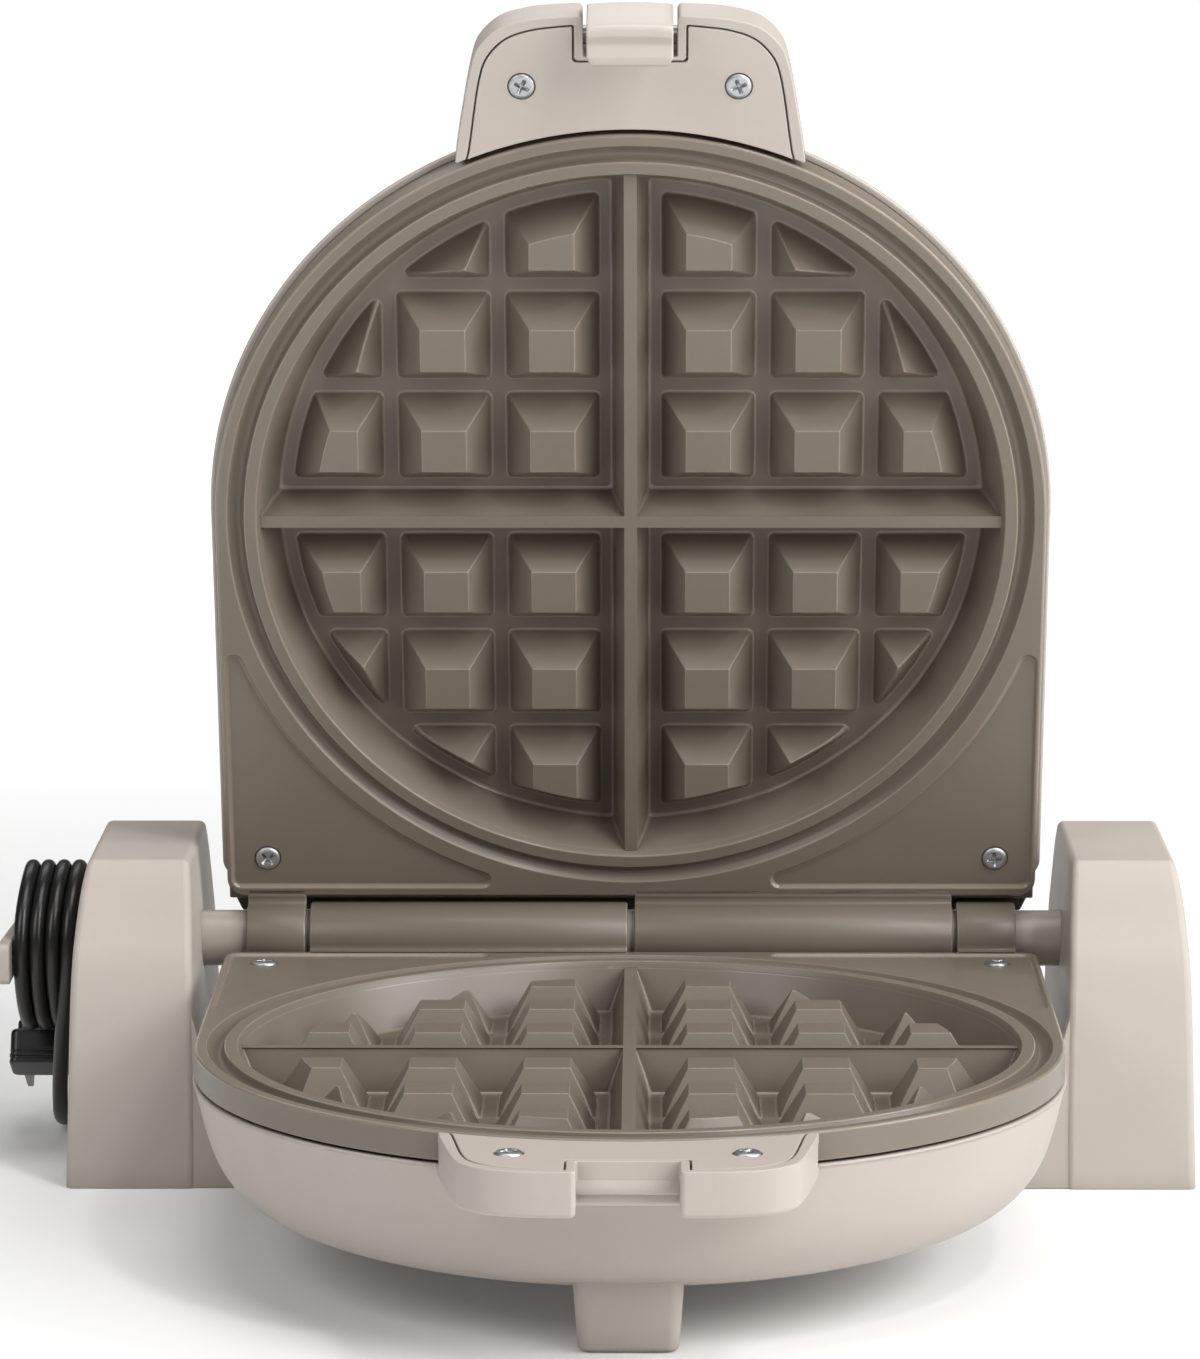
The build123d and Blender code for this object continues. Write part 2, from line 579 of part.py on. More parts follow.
with BuildPart() as stand_frame:
    add(blocks[(1, 0)])
    add(blocks[(-1, 0)])
    add(crossbar.part)
    add(blocks[(1, 1)], mode=Mode.SUBTRACT)
    add(blocks[(-1, 1)], mode=Mode.SUBTRACT)
    # thick wall behind the spool, then the spool's flat seat
    with BuildSketch(Plane.YZ.offset(-SPOOL_X)):
        with Locations((0, COIL_Z)):
            Circle(20.0)
    extrude(amount=4.2)
    with BuildSketch(Plane.YZ.offset(-SPOOL_X)):
        with Locations((0, COIL_Z)):
            Circle(17.9)
    extrude(amount=-8, mode=Mode.SUBTRACT)
    with BuildSketch(Plane.YZ.offset(-SPOOL_X - 1)):
        with Locations((0, COIL_Z)):
            Circle(1.6)
    extrude(amount=12, mode=Mode.SUBTRACT)
    # shaft holes through both inner walls
    for s in (-1, 1):
        with BuildSketch(Plane.YZ.offset(s * 106)):
            Circle(SHAFT_R + 0.2)
        extrude(amount=s * 7.3, mode=Mode.SUBTRACT)
    # shelves under the shaft blocks
    for s in (-1, 1):
        with BuildSketch(Plane.XZ.offset(-14)):
            with BuildLine():
                Polyline((s * 110.5, -16.0), (s * BLOCK_X[1], -16.0), (s * BLOCK_X[1], -13.05), (s * 110.5, -13.05), close=True)
            make_face()
        extrude(amount=28)
    # screw posts for the base covers, each webbed to the nearest wall
    for px, py in POSTS:
        t = 1 if py > 0 else -1
        with BuildSketch(Plane.XY.offset(COVER_TOP + 0.05)):
            with Locations((px, py)):
                Circle(4.0)
            with Locations((px, py + t * 5.0)):
                Rectangle(2.4, 8.0)
        extrude(amount=18)
        with BuildSketch(Plane.XY.offset(COVER_TOP)):
            with Locations((px, py)):
                Circle(1.4)
        extrude(amount=10, mode=Mode.SUBTRACT)
    # lead's way through the left rear wall, with a flat seat for the collar
    with BuildSketch(Plane.XZ.offset(-40)):
        with Locations(RELIEF):
            Circle(4.6)
    extrude(amount=-12, mode=Mode.SUBTRACT)
    with BuildSketch(Plane.XZ.offset(-46.9)):
        with Locations(RELIEF):
            Circle(6.6)
    extrude(amount=-5, mode=Mode.SUBTRACT)
stand(stand_frame.part, "stand_frame")
print("stand_frame", stand_frame.part.is_valid, len(stand_frame.part.solids()), round(stand_frame.part.volume / 1000, 1))


def base_cover(s):
    """flat plate in the pillar's open underside, with screw holes and two pad recesses"""
    with BuildPart() as cover:
        with BuildSketch(Plane.XY.offset(-54.0)):
            with Locations((s * 125.7, 0)):
                Rectangle(26.4, 90.0)
        extrude(amount=COVER_TOP + 54.0)
        for t in (-1, 1):
            with BuildSketch(Plane.XY.offset(-54.0)):
                with Locations((s * 125.5, t * 37.0)):
                    Circle(3.5)
            extrude(amount=1.7, mode=Mode.SUBTRACT)
            with BuildSketch(Plane.XY.offset(-54.0)):
                with Locations((s * 125.5, t * 37.0)):
                    Circle(1.8)
            extrude(amount=5, mode=Mode.SUBTRACT)
            with BuildSketch(Plane.XY.offset(-54.0)):
                with Locations((s * 125.5, t * 22.0)):
                    Circle(6.2)
            extrude(amount=0.8, mode=Mode.SUBTRACT)
    return cover.part


stand(base_cover(-1), "left_base_cover")
stand(base_cover(1), "right_base_cover")

with BuildPart() as base_screws:
    for px, py in POSTS:
        with BuildSketch(Plane.XY.offset(-53.9)):
            with Locations((px, py)):
                Circle(SCREW_HEAD_R)
        extrude(amount=1.5)
        with BuildSketch(Plane.XY.offset(-52.4)):
            with Locations((px, py)):
                Circle(1.3)
        extrude(amount=9)
    with BuildSketch(Plane.XY.offset(-54.5)):
        with Locations(*POSTS):
            Rectangle(3.4, 0.75)
            Rectangle(0.75, 3.4)
    extrude(amount=1.4, mode=Mode.SUBTRACT)
stand(base_screws.part, "base_screws")

with BuildPart() as stand_pads:
    # soft discs level with the crossbar's underside
    with BuildSketch(Plane.XY.offset(-AXIS_Z)):
        with Locations(*[(s * 125.5, t * 22.0) for s in (-1, 1) for t in (-1, 1)]):
            Circle(6.0)
    extrude(amount=1.25)
stand(stand_pads.part, "stand_pads")

# ---------------------------------------------------------------- hinge shaft and its blocks
with BuildPart() as shaft:
    with BuildSketch(Plane.YZ.offset(-SHAFT_END)):
        Circle(SHAFT_R)
        Circle(SHAFT_BORE, mode=Mode.SUBTRACT)
    extrude(amount=2 * SHAFT_END)
stand(shaft.part, "hinge_shaft")


def shaft_block(s):
    with BuildPart() as block:
        with BuildSketch(Plane.YZ.offset(s * BLOCK_X[0])):
            RectangleRounded(28, 26, 3)
            Circle(SHAFT_R + 0.02, mode=Mode.SUBTRACT)
        extrude(amount=s * (BLOCK_X[1] - BLOCK_X[0]))
        with BuildSketch(Plane.XY.offset(0)):
            with Locations((s * 120.4, 0)):
                Circle(2.05)
        extrude(amount=20, mode=Mode.SUBTRACT)
    return block.part


stand(shaft_block(-1), "left_shaft_block")
stand(shaft_block(1), "right_shaft_block")

with BuildPart() as set_screws:
    with BuildSketch(Plane.XY.offset(SHAFT_R + 0.02)):
        with Locations((-120.4, 0), (120.4, 0)):
            Circle(2.0)
    extrude(amount=8.0)
    with BuildSketch(Plane.XY.offset(SHAFT_R + 6.0)):
        with Locations((-120.4, 0), (120.4, 0)):
            RegularPolygon(1.15, 6)
    extrude(amount=4, mode=Mode.SUBTRACT)
stand(set_screws.part, "shaft_set_screws")

# ---------------------------------------------------------------- cord spool
SPOOL_END = 157.9        # outer end of the drum
BAR_T = 3.1              # keeper tongue
with BuildPart() as spool:
    with BuildSketch(Plane.YZ.offset(-SPOOL_X)):
        with Locations((0, COIL_Z)):
            Circle(17.7)
    extrude(amount=-(SPOOL_END - SPOOL_X))
    with BuildSketch(Plane.YZ.offset(-SPOOL_X)):
        with Locations((0, COIL_Z)):
            Circle(15.3)
            Circle(5.4, mode=Mode.SUBTRACT)
    extrude(amount=-(SPOOL_END - SPOOL_X - 2.2), mode=Mode.SUBTRACT)
    with BuildSketch(Plane.YZ.offset(-SPOOL_END)):
        with Locations((-4.7, COIL_Z)):
            RectangleRounded(44.6, 10.4, 1.4)
    extrude(amount=-BAR_T)
    tongue_top = spool.faces().sort_by(Axis.X)[0]
    chamfer([e for e in tongue_top.outer_wire().edges() if e.center().Z > COIL_Z + 1 or abs(e.center().Y) > 15], 1.1)
    with BuildSketch(Plane.YZ.offset(-SPOOL_END - BAR_T)):
        with Locations((0, COIL_Z)):
            Circle(3.5)
    extrude(amount=1.7, mode=Mode.SUBTRACT)
    with BuildSketch(Plane.YZ.offset(-SPOOL_END - BAR_T)):
        with Locations((0, COIL_Z)):
            Circle(1.8)
    extrude(amount=30, mode=Mode.SUBTRACT)
stand(spool.part, "cord_wrap_spool")

with BuildPart() as spool_screw:
    with BuildSketch(Plane.YZ.offset(-SPOOL_END - BAR_T + 0.15)):
        with Locations((0, COIL_Z)):
            Circle(SCREW_HEAD_R)
    extrude(amount=1.5)
    with BuildSketch(Plane.YZ.offset(-SPOOL_END - BAR_T + 1.65)):
        with Locations((0, COIL_Z)):
            Circle(1.5)
    extrude(amount=23)
    with BuildSketch(Plane.YZ.offset(-SPOOL_END - BAR_T - 1)):
        with Locations((0, COIL_Z)):
            Rectangle(3.4, 0.75)
            Rectangle(0.75, 3.4)
    extrude(amount=1.9, mode=Mode.SUBTRACT)
stand(spool_screw.part, "cord_wrap_screw")

# ---------------------------------------------------------------- mains lead, its sleeve and the wires inside
LEAD_START = (-119.0, 73.0, -40.0)
with BuildPart() as relief:
    with BuildSketch(Plane.XZ.offset(-46.9)):
        with Locations(RELIEF):
            Circle(6.4)
    extrude(amount=-2.5)
    with BuildSketch(Plane.XZ.offset(-41.5)):
        with Locations(RELIEF):
            Circle(5.1)
    extrude(amount=-2.3)
    with BuildSketch(Plane.XZ.offset(-43.8)):
        with Locations(RELIEF):
            Circle(4.5)
    extrude(amount=-3.1)
    with BuildSketch(Plane.XZ.offset(-49.4)):
        with Locations(RELIEF):
            Circle(4.7)
    with BuildSketch(Plane.XZ.offset(-73.0)):
        with Locations(RELIEF):
            Circle(2.6)
    loft()
stand(relief.part, "cord_strain_relief")

with BuildPart() as terminal_block:
    with BuildSketch(Plane.XY.offset(COVER_TOP)):
        with Locations((-125, 2)):
            Rectangle(20, 12)
    extrude(amount=12)
    with BuildSketch(Plane.XY.offset(COVER_TOP + 9)):
        with Locations((-130, 2), (-120, 2)):
            Circle(2.4)
    extrude(amount=5, mode=Mode.SUBTRACT)
stand(terminal_block.part, "terminal_block")


def tube(points, radius):
    """round tube along straight runs joined by tangent arcs; each arc takes 0.45 of its shorter run"""
    pts = [Vector(*p) for p in points]
    radii = []
    for a, b, c in zip(pts, pts[1:], pts[2:]):
        turn = math.radians((b - a).get_angle(c - b))
        radii.append(0.45 * min((b - a).length, (c - b).length) / math.tan(turn / 2))
    with BuildPart() as t:
        with BuildLine() as run:
            FilletPolyline(*pts, radius=radii)
        with BuildSketch(Plane(origin=pts[0], z_dir=pts[1] - pts[0])):
            Circle(radius)
        sweep()
    length = sum(e.length for e in run.edges())
    print("  radii", [round(r, 1) for r in radii], "length", round(length, 1),
          "volume over section x length", round(t.part.volume / (math.pi * radius ** 2 * length), 4))
    return t.part, length


wires, _ = tube([(-119, 41.48, -40), (-119, 31, -40), (-124.0, 17.5, -31.5), (-130.4, 6.5, -18.5), (-131.2, 1.0, -8.0),
                 (-131.0, 0.0, -1.0), (-124.0, 0, 0)], 1.75)
stand(wires, "supply_wires")

LEAD = [LEAD_START, (-119, 88.9, -40.0), (-124.7, 96.8, -43.6), (-134, 99.8, -48.1), (-143.3, 96.8, -51.2), (-149, 88.9, -52.45),
        (-149.2, 76, -52.45), (-147.8, 62, -52.45), (-146.7, 48, -52.45), (-146.9, 34, -52.45), (-148.2, 21, -52.3),
        (-148.6, 9, -49.6), (-147.9, -0.5, -42.5), (-146.9, -8.5, -33), (-145.6, -15.5, -22.5), (-144.0, -19.9, -11.5),
        (-143.4, -20.1, COIL_Z)]
lead, lead_length = tube(LEAD, CORD_R)
stand(lead, "cord_lead")

TAIL = [(-156.0, 15.4, 11.07), (-156.9, 20.9, 4.9), (-155.2, 25.0, -3.3), (-152.1, 23.875, -12.131), (-152.1, 18.875, -20.791)]
tail, tail_length = tube(TAIL, CORD_R)
stand(tail, "cord_tail")

with BuildPart() as coil:
    # outer shape of the wound turns
    with BuildSketch(Plane.YZ.offset(-165)):
        with Locations((0, COIL_Z)):
            Circle(COIL_R + CORD_R)
            Circle(COIL_R - CORD_R, mode=Mode.SUBTRACT)
    extrude(amount=30)
    with BuildSketch(Plane.XZ.offset(-30)):
        with BuildLine():
            Polyline((-157.5, -30), (-157.5, COIL_Z), (-156.0, 21), (-140.0, 21), (-141.4, COIL_Z), (-141.4, -30), close=True)
        make_face()
    extrude(amount=60, mode=Mode.INTERSECT)
stand(coil.part, "cord_coil")

# ---------------------------------------------------------------- plug, hanging behind the coil, turned back 30 degrees
PLUG = Plane(origin=(-152.1, 12.0, -32.7), x_dir=(1, 0, 0), z_dir=(0, 0.5, math.sqrt(0.75)))
with BuildPart() as plug_body:
    with BuildSketch(Plane.XY.offset(-4.75)):
        RectangleRounded(19.0, 12.0, 2.0)
    extrude(amount=9.5)
    fillet(plug_body.edges().filter_by(Plane.XY), 0.9)
    with BuildSketch(Plane.XY.offset(4.75)):
        RectangleRounded(15.6, 8.0, 1.6)
    extrude(amount=3.0)
    with BuildSketch(Plane.XY.offset(7.75)):
        RectangleRounded(11.0, 7.0, 2.0)
    with BuildSketch(Plane.XY.offset(13.75)):
        Circle(2.9)
    loft()
    # gripping ridge and shallow panel on the face turned away from the blades
    with BuildSketch(Plane.XZ.offset(5.6)):
        RectangleRounded(13.5, 6.2, 1.2)
    extrude(amount=1, mode=Mode.SUBTRACT)
stand(PLUG.location * plug_body.part, "plug_body")

with BuildPart() as blades:
    for s in (-1, 1):
        with BuildSketch(Plane.XZ.offset(-6.0)):
            with Locations((s * 6.35, 0)):
                Rectangle(1.5, 6.35)
        extrude(amount=-16)
    tips = blades.faces().sort_by(Axis.Y)[-2:]
    chamfer([e for f in tips for e in f.edges().filter_by(Axis.Z)], 0.45)
stand(PLUG.location * blades.part, "plug_blades")
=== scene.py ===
import json
import math
import bmesh
import bpy
from mathutils import Matrix, Vector
from mathutils.geometry import delaunay_2d_cdt


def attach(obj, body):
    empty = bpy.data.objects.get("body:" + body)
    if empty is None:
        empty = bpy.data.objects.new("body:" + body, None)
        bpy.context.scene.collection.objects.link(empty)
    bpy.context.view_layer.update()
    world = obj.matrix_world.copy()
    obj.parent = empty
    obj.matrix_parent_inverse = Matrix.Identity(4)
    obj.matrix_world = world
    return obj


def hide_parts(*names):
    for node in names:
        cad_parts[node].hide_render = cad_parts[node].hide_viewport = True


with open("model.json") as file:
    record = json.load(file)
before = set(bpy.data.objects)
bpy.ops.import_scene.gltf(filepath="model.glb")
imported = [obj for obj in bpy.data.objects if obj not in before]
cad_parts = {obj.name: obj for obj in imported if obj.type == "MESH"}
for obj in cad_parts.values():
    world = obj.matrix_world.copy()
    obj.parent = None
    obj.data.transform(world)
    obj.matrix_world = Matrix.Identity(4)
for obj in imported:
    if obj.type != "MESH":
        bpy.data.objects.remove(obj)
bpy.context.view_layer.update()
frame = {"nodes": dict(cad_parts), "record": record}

NODES = frame["nodes"]
MM = 0.001
AXIS_Y, AXIS_Z = 40.0, 54.5          # hinge axis, mm behind and above the origin
OPEN = math.radians(72.9)            # the lid's pose at rest
CO, SI = math.cos(OPEN), math.sin(OPEN)

# three drawing frames in mm: the stand's from the hinge axis, and each half's own
# (x along the hinge, y towards the hinge, z to the food side)
STAND = Matrix.Translation((0, AXIS_Y * MM, AXIS_Z * MM)) @ Matrix.Scale(MM, 4)
LOWER = STAND.copy()
LID = Matrix.Translation((0, AXIS_Y * MM, AXIS_Z * MM)) @ Matrix((
    (-1, 0, 0, 0), (0, CO, -SI, 0), (0, -SI, -CO, 0), (0, 0, 0, 1))) @ Matrix.Scale(MM, 4)


# ------------------------------------------------------------------ materials
def ramp(nt, src, lo, hi, x, y):
    """map a 0..1 factor to a span"""
    m = nt.nodes.new("ShaderNodeMapRange")
    m.location = (x, y)
    m.inputs["To Min"].default_value = lo
    m.inputs["To Max"].default_value = hi
    nt.links.new(src, m.inputs["Value"])
    return m.outputs["Result"]


def noise(nt, coord, scale, detail, x, y, rough=0.55, stretch=None):
    if stretch:
        mp = nt.nodes.new("ShaderNodeMapping")
        mp.inputs["Scale"].default_value = stretch
        nt.links.new(coord, mp.inputs["Vector"])
        coord = mp.outputs["Vector"]
    n = nt.nodes.new("ShaderNodeTexNoise")
    n.location = (x, y)
    n.inputs["Scale"].default_value = scale
    n.inputs["Detail"].default_value = detail
    n.inputs["Roughness"].default_value = rough
    nt.links.new(coord, n.inputs["Vector"])
    return n.outputs["Fac"]


def finish_of(name, colour, other, rough, broad=25.0, fine=1400.0, grain=0.05, grain_depth=0.00004, metallic=0.0,
              specular=0.5, coat=0.0, coat_rough=0.2, edge=None, crevice_patina_and_shade=None, stretch=None, wave=0.0, wave_scale=90.0, strip=0.0):
    """a procedural surface: two close colours mixed by a broad noise, roughness that wanders, a fine grain as bump,
    lighter edges by pointiness and darker hollows by AO where given (baked-on patina on the casting, painted shade on
    the plastics), and on rounded strips less roughness with a painted highlight"""
    m = bpy.data.materials.new(name)
    m.use_nodes = True
    nt = m.node_tree
    b = nt.nodes["Principled BSDF"]
    b.inputs["Metallic"].default_value = metallic
    b.inputs["Specular IOR Level"].default_value = specular
    b.inputs["Coat Weight"].default_value = coat
    b.inputs["Coat Roughness"].default_value = coat_rough
    tc = nt.nodes.new("ShaderNodeTexCoord")
    coord = tc.outputs["Object"]
    n1 = noise(nt, coord, broad, 4.0, -900, 300)
    n2 = noise(nt, coord, fine, 3.0, -900, 0, stretch=stretch)
    mix = nt.nodes.new("ShaderNodeMix")
    mix.data_type = "RGBA"
    mix.inputs["A"].default_value = (*colour, 1)
    mix.inputs["B"].default_value = (*other, 1)
    nt.links.new(ramp(nt, n1, -0.4, 1.4, -700, 300), mix.inputs["Factor"])
    out = mix.outputs["Result"]
    speck = nt.nodes.new("ShaderNodeMix")
    speck.data_type = "RGBA"
    speck.blend_type = "MULTIPLY"
    speck.inputs["Factor"].default_value = 1.0
    nt.links.new(out, speck.inputs["A"])
    lum = ramp(nt, n2, 1.0 - grain, 1.0 + grain, -700, 0)
    nt.links.new(lum, speck.inputs["B"])
    out = speck.outputs["Result"]
    if edge:
        geo = nt.nodes.new("ShaderNodeNewGeometry")
        worn = nt.nodes.new("ShaderNodeMapRange")
        worn.inputs["From Min"].default_value = edge[1]
        worn.inputs["From Max"].default_value = edge[2]
        worn.inputs["To Max"].default_value = edge[3]
        nt.links.new(geo.outputs["Pointiness"], worn.inputs["Value"])
        em = nt.nodes.new("ShaderNodeMix")
        em.data_type = "RGBA"
        em.inputs["B"].default_value = (*edge[0], 1)
        nt.links.new(worn.outputs["Result"], em.inputs["Factor"])
        nt.links.new(out, em.inputs["A"])
        out = em.outputs["Result"]
    # darker in hollows by AO: painted shade on the plastics, baked-on patina on the casting
    if crevice_patina_and_shade:
        ao = nt.nodes.new("ShaderNodeAmbientOcclusion")
        ao.samples = 6
        ao.inputs["Distance"].default_value = crevice_patina_and_shade[1]
        cm = nt.nodes.new("ShaderNodeMix")
        cm.data_type = "RGBA"
        cm.inputs["A"].default_value = (*crevice_patina_and_shade[0], 1)
        nt.links.new(ramp(nt, ao.outputs["AO"], crevice_patina_and_shade[2], 1.0, -700, -300), cm.inputs["Factor"])
        nt.links.new(out, cm.inputs["B"])
        out = cm.outputs["Result"]
    nt.links.new(out, b.inputs["Base Color"])
    worn_rough = ramp(nt, n1, rough - 0.06, rough + 0.07, -700, -150)
    if strip:
        at = nt.nodes.new("ShaderNodeAttribute")
        at.attribute_name = "strip"
        less = nt.nodes.new("ShaderNodeMath")
        less.operation = "MULTIPLY_ADD"
        less.inputs[1].default_value = -strip
        nt.links.new(at.outputs["Fac"], less.inputs[0])
        nt.links.new(worn_rough, less.inputs[2])
        worn_rough = less.outputs["Value"]
        # the rounded strips get a lighter colour: a painted highlight along the edges, besides their lower roughness
        painted_highlight = nt.nodes.new("ShaderNodeMix")
        painted_highlight.data_type = "RGBA"
        painted_highlight.inputs["B"].default_value = (*[min(1.0, c * 1.9) for c in colour], 1)
        highlight_share = nt.nodes.new("ShaderNodeMath")
        highlight_share.operation = "MULTIPLY"
        highlight_share.inputs[1].default_value = 0.30
        nt.links.new(at.outputs["Fac"], highlight_share.inputs[0])
        nt.links.new(highlight_share.outputs["Value"], painted_highlight.inputs["Factor"])
        nt.links.new(out, painted_highlight.inputs["A"])
        nt.links.new(painted_highlight.outputs["Result"], b.inputs["Base Color"])
    nt.links.new(worn_rough, b.inputs["Roughness"])
    bump = nt.nodes.new("ShaderNodeBump")
    bump.inputs["Strength"].default_value = 1.0
    bump.inputs["Distance"].default_value = grain_depth
    nt.links.new(n2, bump.inputs["Height"])
    normal = bump.outputs["Normal"]
    if wave:
        n3 = noise(nt, coord, wave_scale, 1.0, -900, -500)
        slow = nt.nodes.new("ShaderNodeBump")
        slow.inputs["Strength"].default_value = 1.0
        slow.inputs["Distance"].default_value = wave
        nt.links.new(n3, slow.inputs["Height"])
        nt.links.new(normal, slow.inputs["Normal"])
        normal = slow.outputs["Normal"]
    nt.links.new(normal, b.inputs["Normal"])
    return m


def lin(r, g, b):
    """display colour 0..255 to linear light"""
    f = lambda c: c / 12.92 if c <= 0.04045 else ((c + 0.055) / 1.055) ** 2.4
    return tuple(f(c / 255.0) for c in (r, g, b))


MATS = {
    # cream plastic: its crevice colour is painted shade in the hollows, by AO
    "cream_plastic": finish_of("cream_plastic", lin(181, 172, 164), lin(177, 168, 159), 0.42, specular=0.22, grain=0.02, grain_depth=0.000012,
                               crevice_patina_and_shade=(lin(138, 129, 120), 0.006, 0.25), wave=0.00004, wave_scale=60.0),
    "latch_plastic": finish_of("latch_plastic", lin(184, 175, 166), lin(180, 171, 161), 0.30, grain=0.02, grain_depth=0.000010),
    # the casting: its rounded strips get less roughness and a painted highlight, its hollows go darker and browner by
    # AO as baked-on patina
    "coated_casting": finish_of("coated_casting", lin(120, 111, 99), lin(115, 106, 94), 0.33, specular=0.40, strip=0.17, grain=0.05, grain_depth=0.000014,
                                fine=2200.0, crevice_patina_and_shade=(lin(78, 68, 55), 0.012, 0.15),
                                wave=0.00006, wave_scale=70.0),
    "painted_shaft": finish_of("painted_shaft", lin(172, 163, 153), lin(167, 158, 148), 0.34, grain=0.04, grain_depth=0.00002,
                               wave=0.00006, wave_scale=110.0),
    "zinc_steel": finish_of("zinc_steel", lin(190, 191, 193), lin(176, 177, 179), 0.44, grain=0.10, grain_depth=0.00002, metallic=1.0),
    "block_metal": finish_of("block_metal", lin(168, 168, 166), lin(150, 150, 150), 0.45, grain=0.10, grain_depth=0.00004, metallic=1.0,
                             stretch=(1, 1, 12)),
    "soft_pad": finish_of("soft_pad", lin(62, 60, 58), lin(50, 49, 47), 0.75, grain=0.14, grain_depth=0.00005),
    "element_sheath": finish_of("element_sheath", lin(92, 84, 78), lin(70, 64, 60), 0.5, grain=0.12, grain_depth=0.00004, metallic=0.7),
    "bright_sheet": finish_of("bright_sheet", lin(200, 200, 200), lin(186, 186, 188), 0.25, grain=0.06, grain_depth=0.00002, metallic=1.0,
                              stretch=(1, 20, 1)),
    "control_ceramic": finish_of("control_ceramic", lin(214, 208, 196), lin(200, 193, 180), 0.6, grain=0.05, grain_depth=0.00003),
    "wire_sleeve": finish_of("wire_sleeve", lin(196, 188, 172), lin(180, 170, 154), 0.55, grain=0.10, grain_depth=0.00006,
                             fine=2600.0),
    "black_cord": finish_of("black_cord", lin(22, 21, 21), lin(17, 17, 16), 0.33, grain=0.08, grain_depth=0.000015, wave=0.00006,
                            wave_scale=160.0),
    "black_plug": finish_of("black_plug", lin(17, 17, 17), lin(21, 20, 20), 0.36, grain=0.10, grain_depth=0.00002),
    "plated_blades": finish_of("plated_blades", lin(140, 138, 134), lin(118, 115, 110), 0.30, grain=0.08, grain_depth=0.00002,
                               metallic=1.0, stretch=(1, 1, 14)),
}


# ------------------------------------------------------------------ mesh helpers
def shade(ob, angle=30.0):
    """smooth faces, with the edges over the angle kept sharp"""
    me = ob.data
    bm = bmesh.new()
    bm.from_mesh(me)
    bmesh.ops.recalc_face_normals(bm, faces=bm.faces)
    for f in bm.faces:
        f.smooth = True
    lim = math.radians(angle)
    for e in bm.edges:
        e.smooth = len(e.link_faces) == 2 and e.calc_face_angle(0.0) < lim
    bm.to_mesh(me)
    bm.free()


def piece(name, me, body, slot, nodes=(), angle=30.0, weighted=False):
    """a shown piece made of a mesh, riding on a body and standing for CAD nodes"""
    ob = bpy.data.objects.new(name, me)
    bpy.context.scene.collection.objects.link(ob)
    me.materials.clear()
    me.materials.append(MATS[slot])
    if angle is not None:
        shade(ob, angle)
    if weighted:
        wn = ob.modifiers.new("weighted", "WEIGHTED_NORMAL")
        wn.mode = "FACE_AREA"
        wn.weight = 50
        wn.keep_sharp = True
    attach(ob, body)
    if nodes:
        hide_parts(*nodes)
    return ob


def mesh_of(name, verts, faces):
    me = bpy.data.meshes.new(name)
    me.from_pydata([tuple(v) for v in verts], [], faces)
    me.validate()
    return me


def rounded_copy(node, bevel=0.3, segments=2, sharp=28.0, flat=0.15, clamp=True):
    """a node's shape as clean faces, its sharp edges rounded by a given size in mm"""
    me = NODES[node].data.copy()
    bm = bmesh.new()
    bm.from_mesh(me)
    bmesh.ops.remove_doubles(bm, verts=bm.verts, dist=2e-6)
    bmesh.ops.dissolve_limit(bm, angle_limit=math.radians(flat), verts=bm.verts, edges=bm.edges, delimit=set())
    if bevel:
        lim = math.radians(sharp)
        edges = [e for e in bm.edges if len(e.link_faces) == 2 and e.calc_face_angle(0.0) > lim]
        bmesh.ops.bevel(bm, geom=edges, offset=bevel * MM, offset_type="OFFSET", segments=segments, profile=0.5,
                        affect="EDGES", clamp_overlap=clamp)
    bm.to_mesh(me)
    bm.free()
    return me


BODY = {n: b for b, ns in frame["record"]["behaviour"]["bodies"].items() for n in ns}
SLOT = {p["node"]: p["material_slot"] for p in frame["record"]["subparts"]}

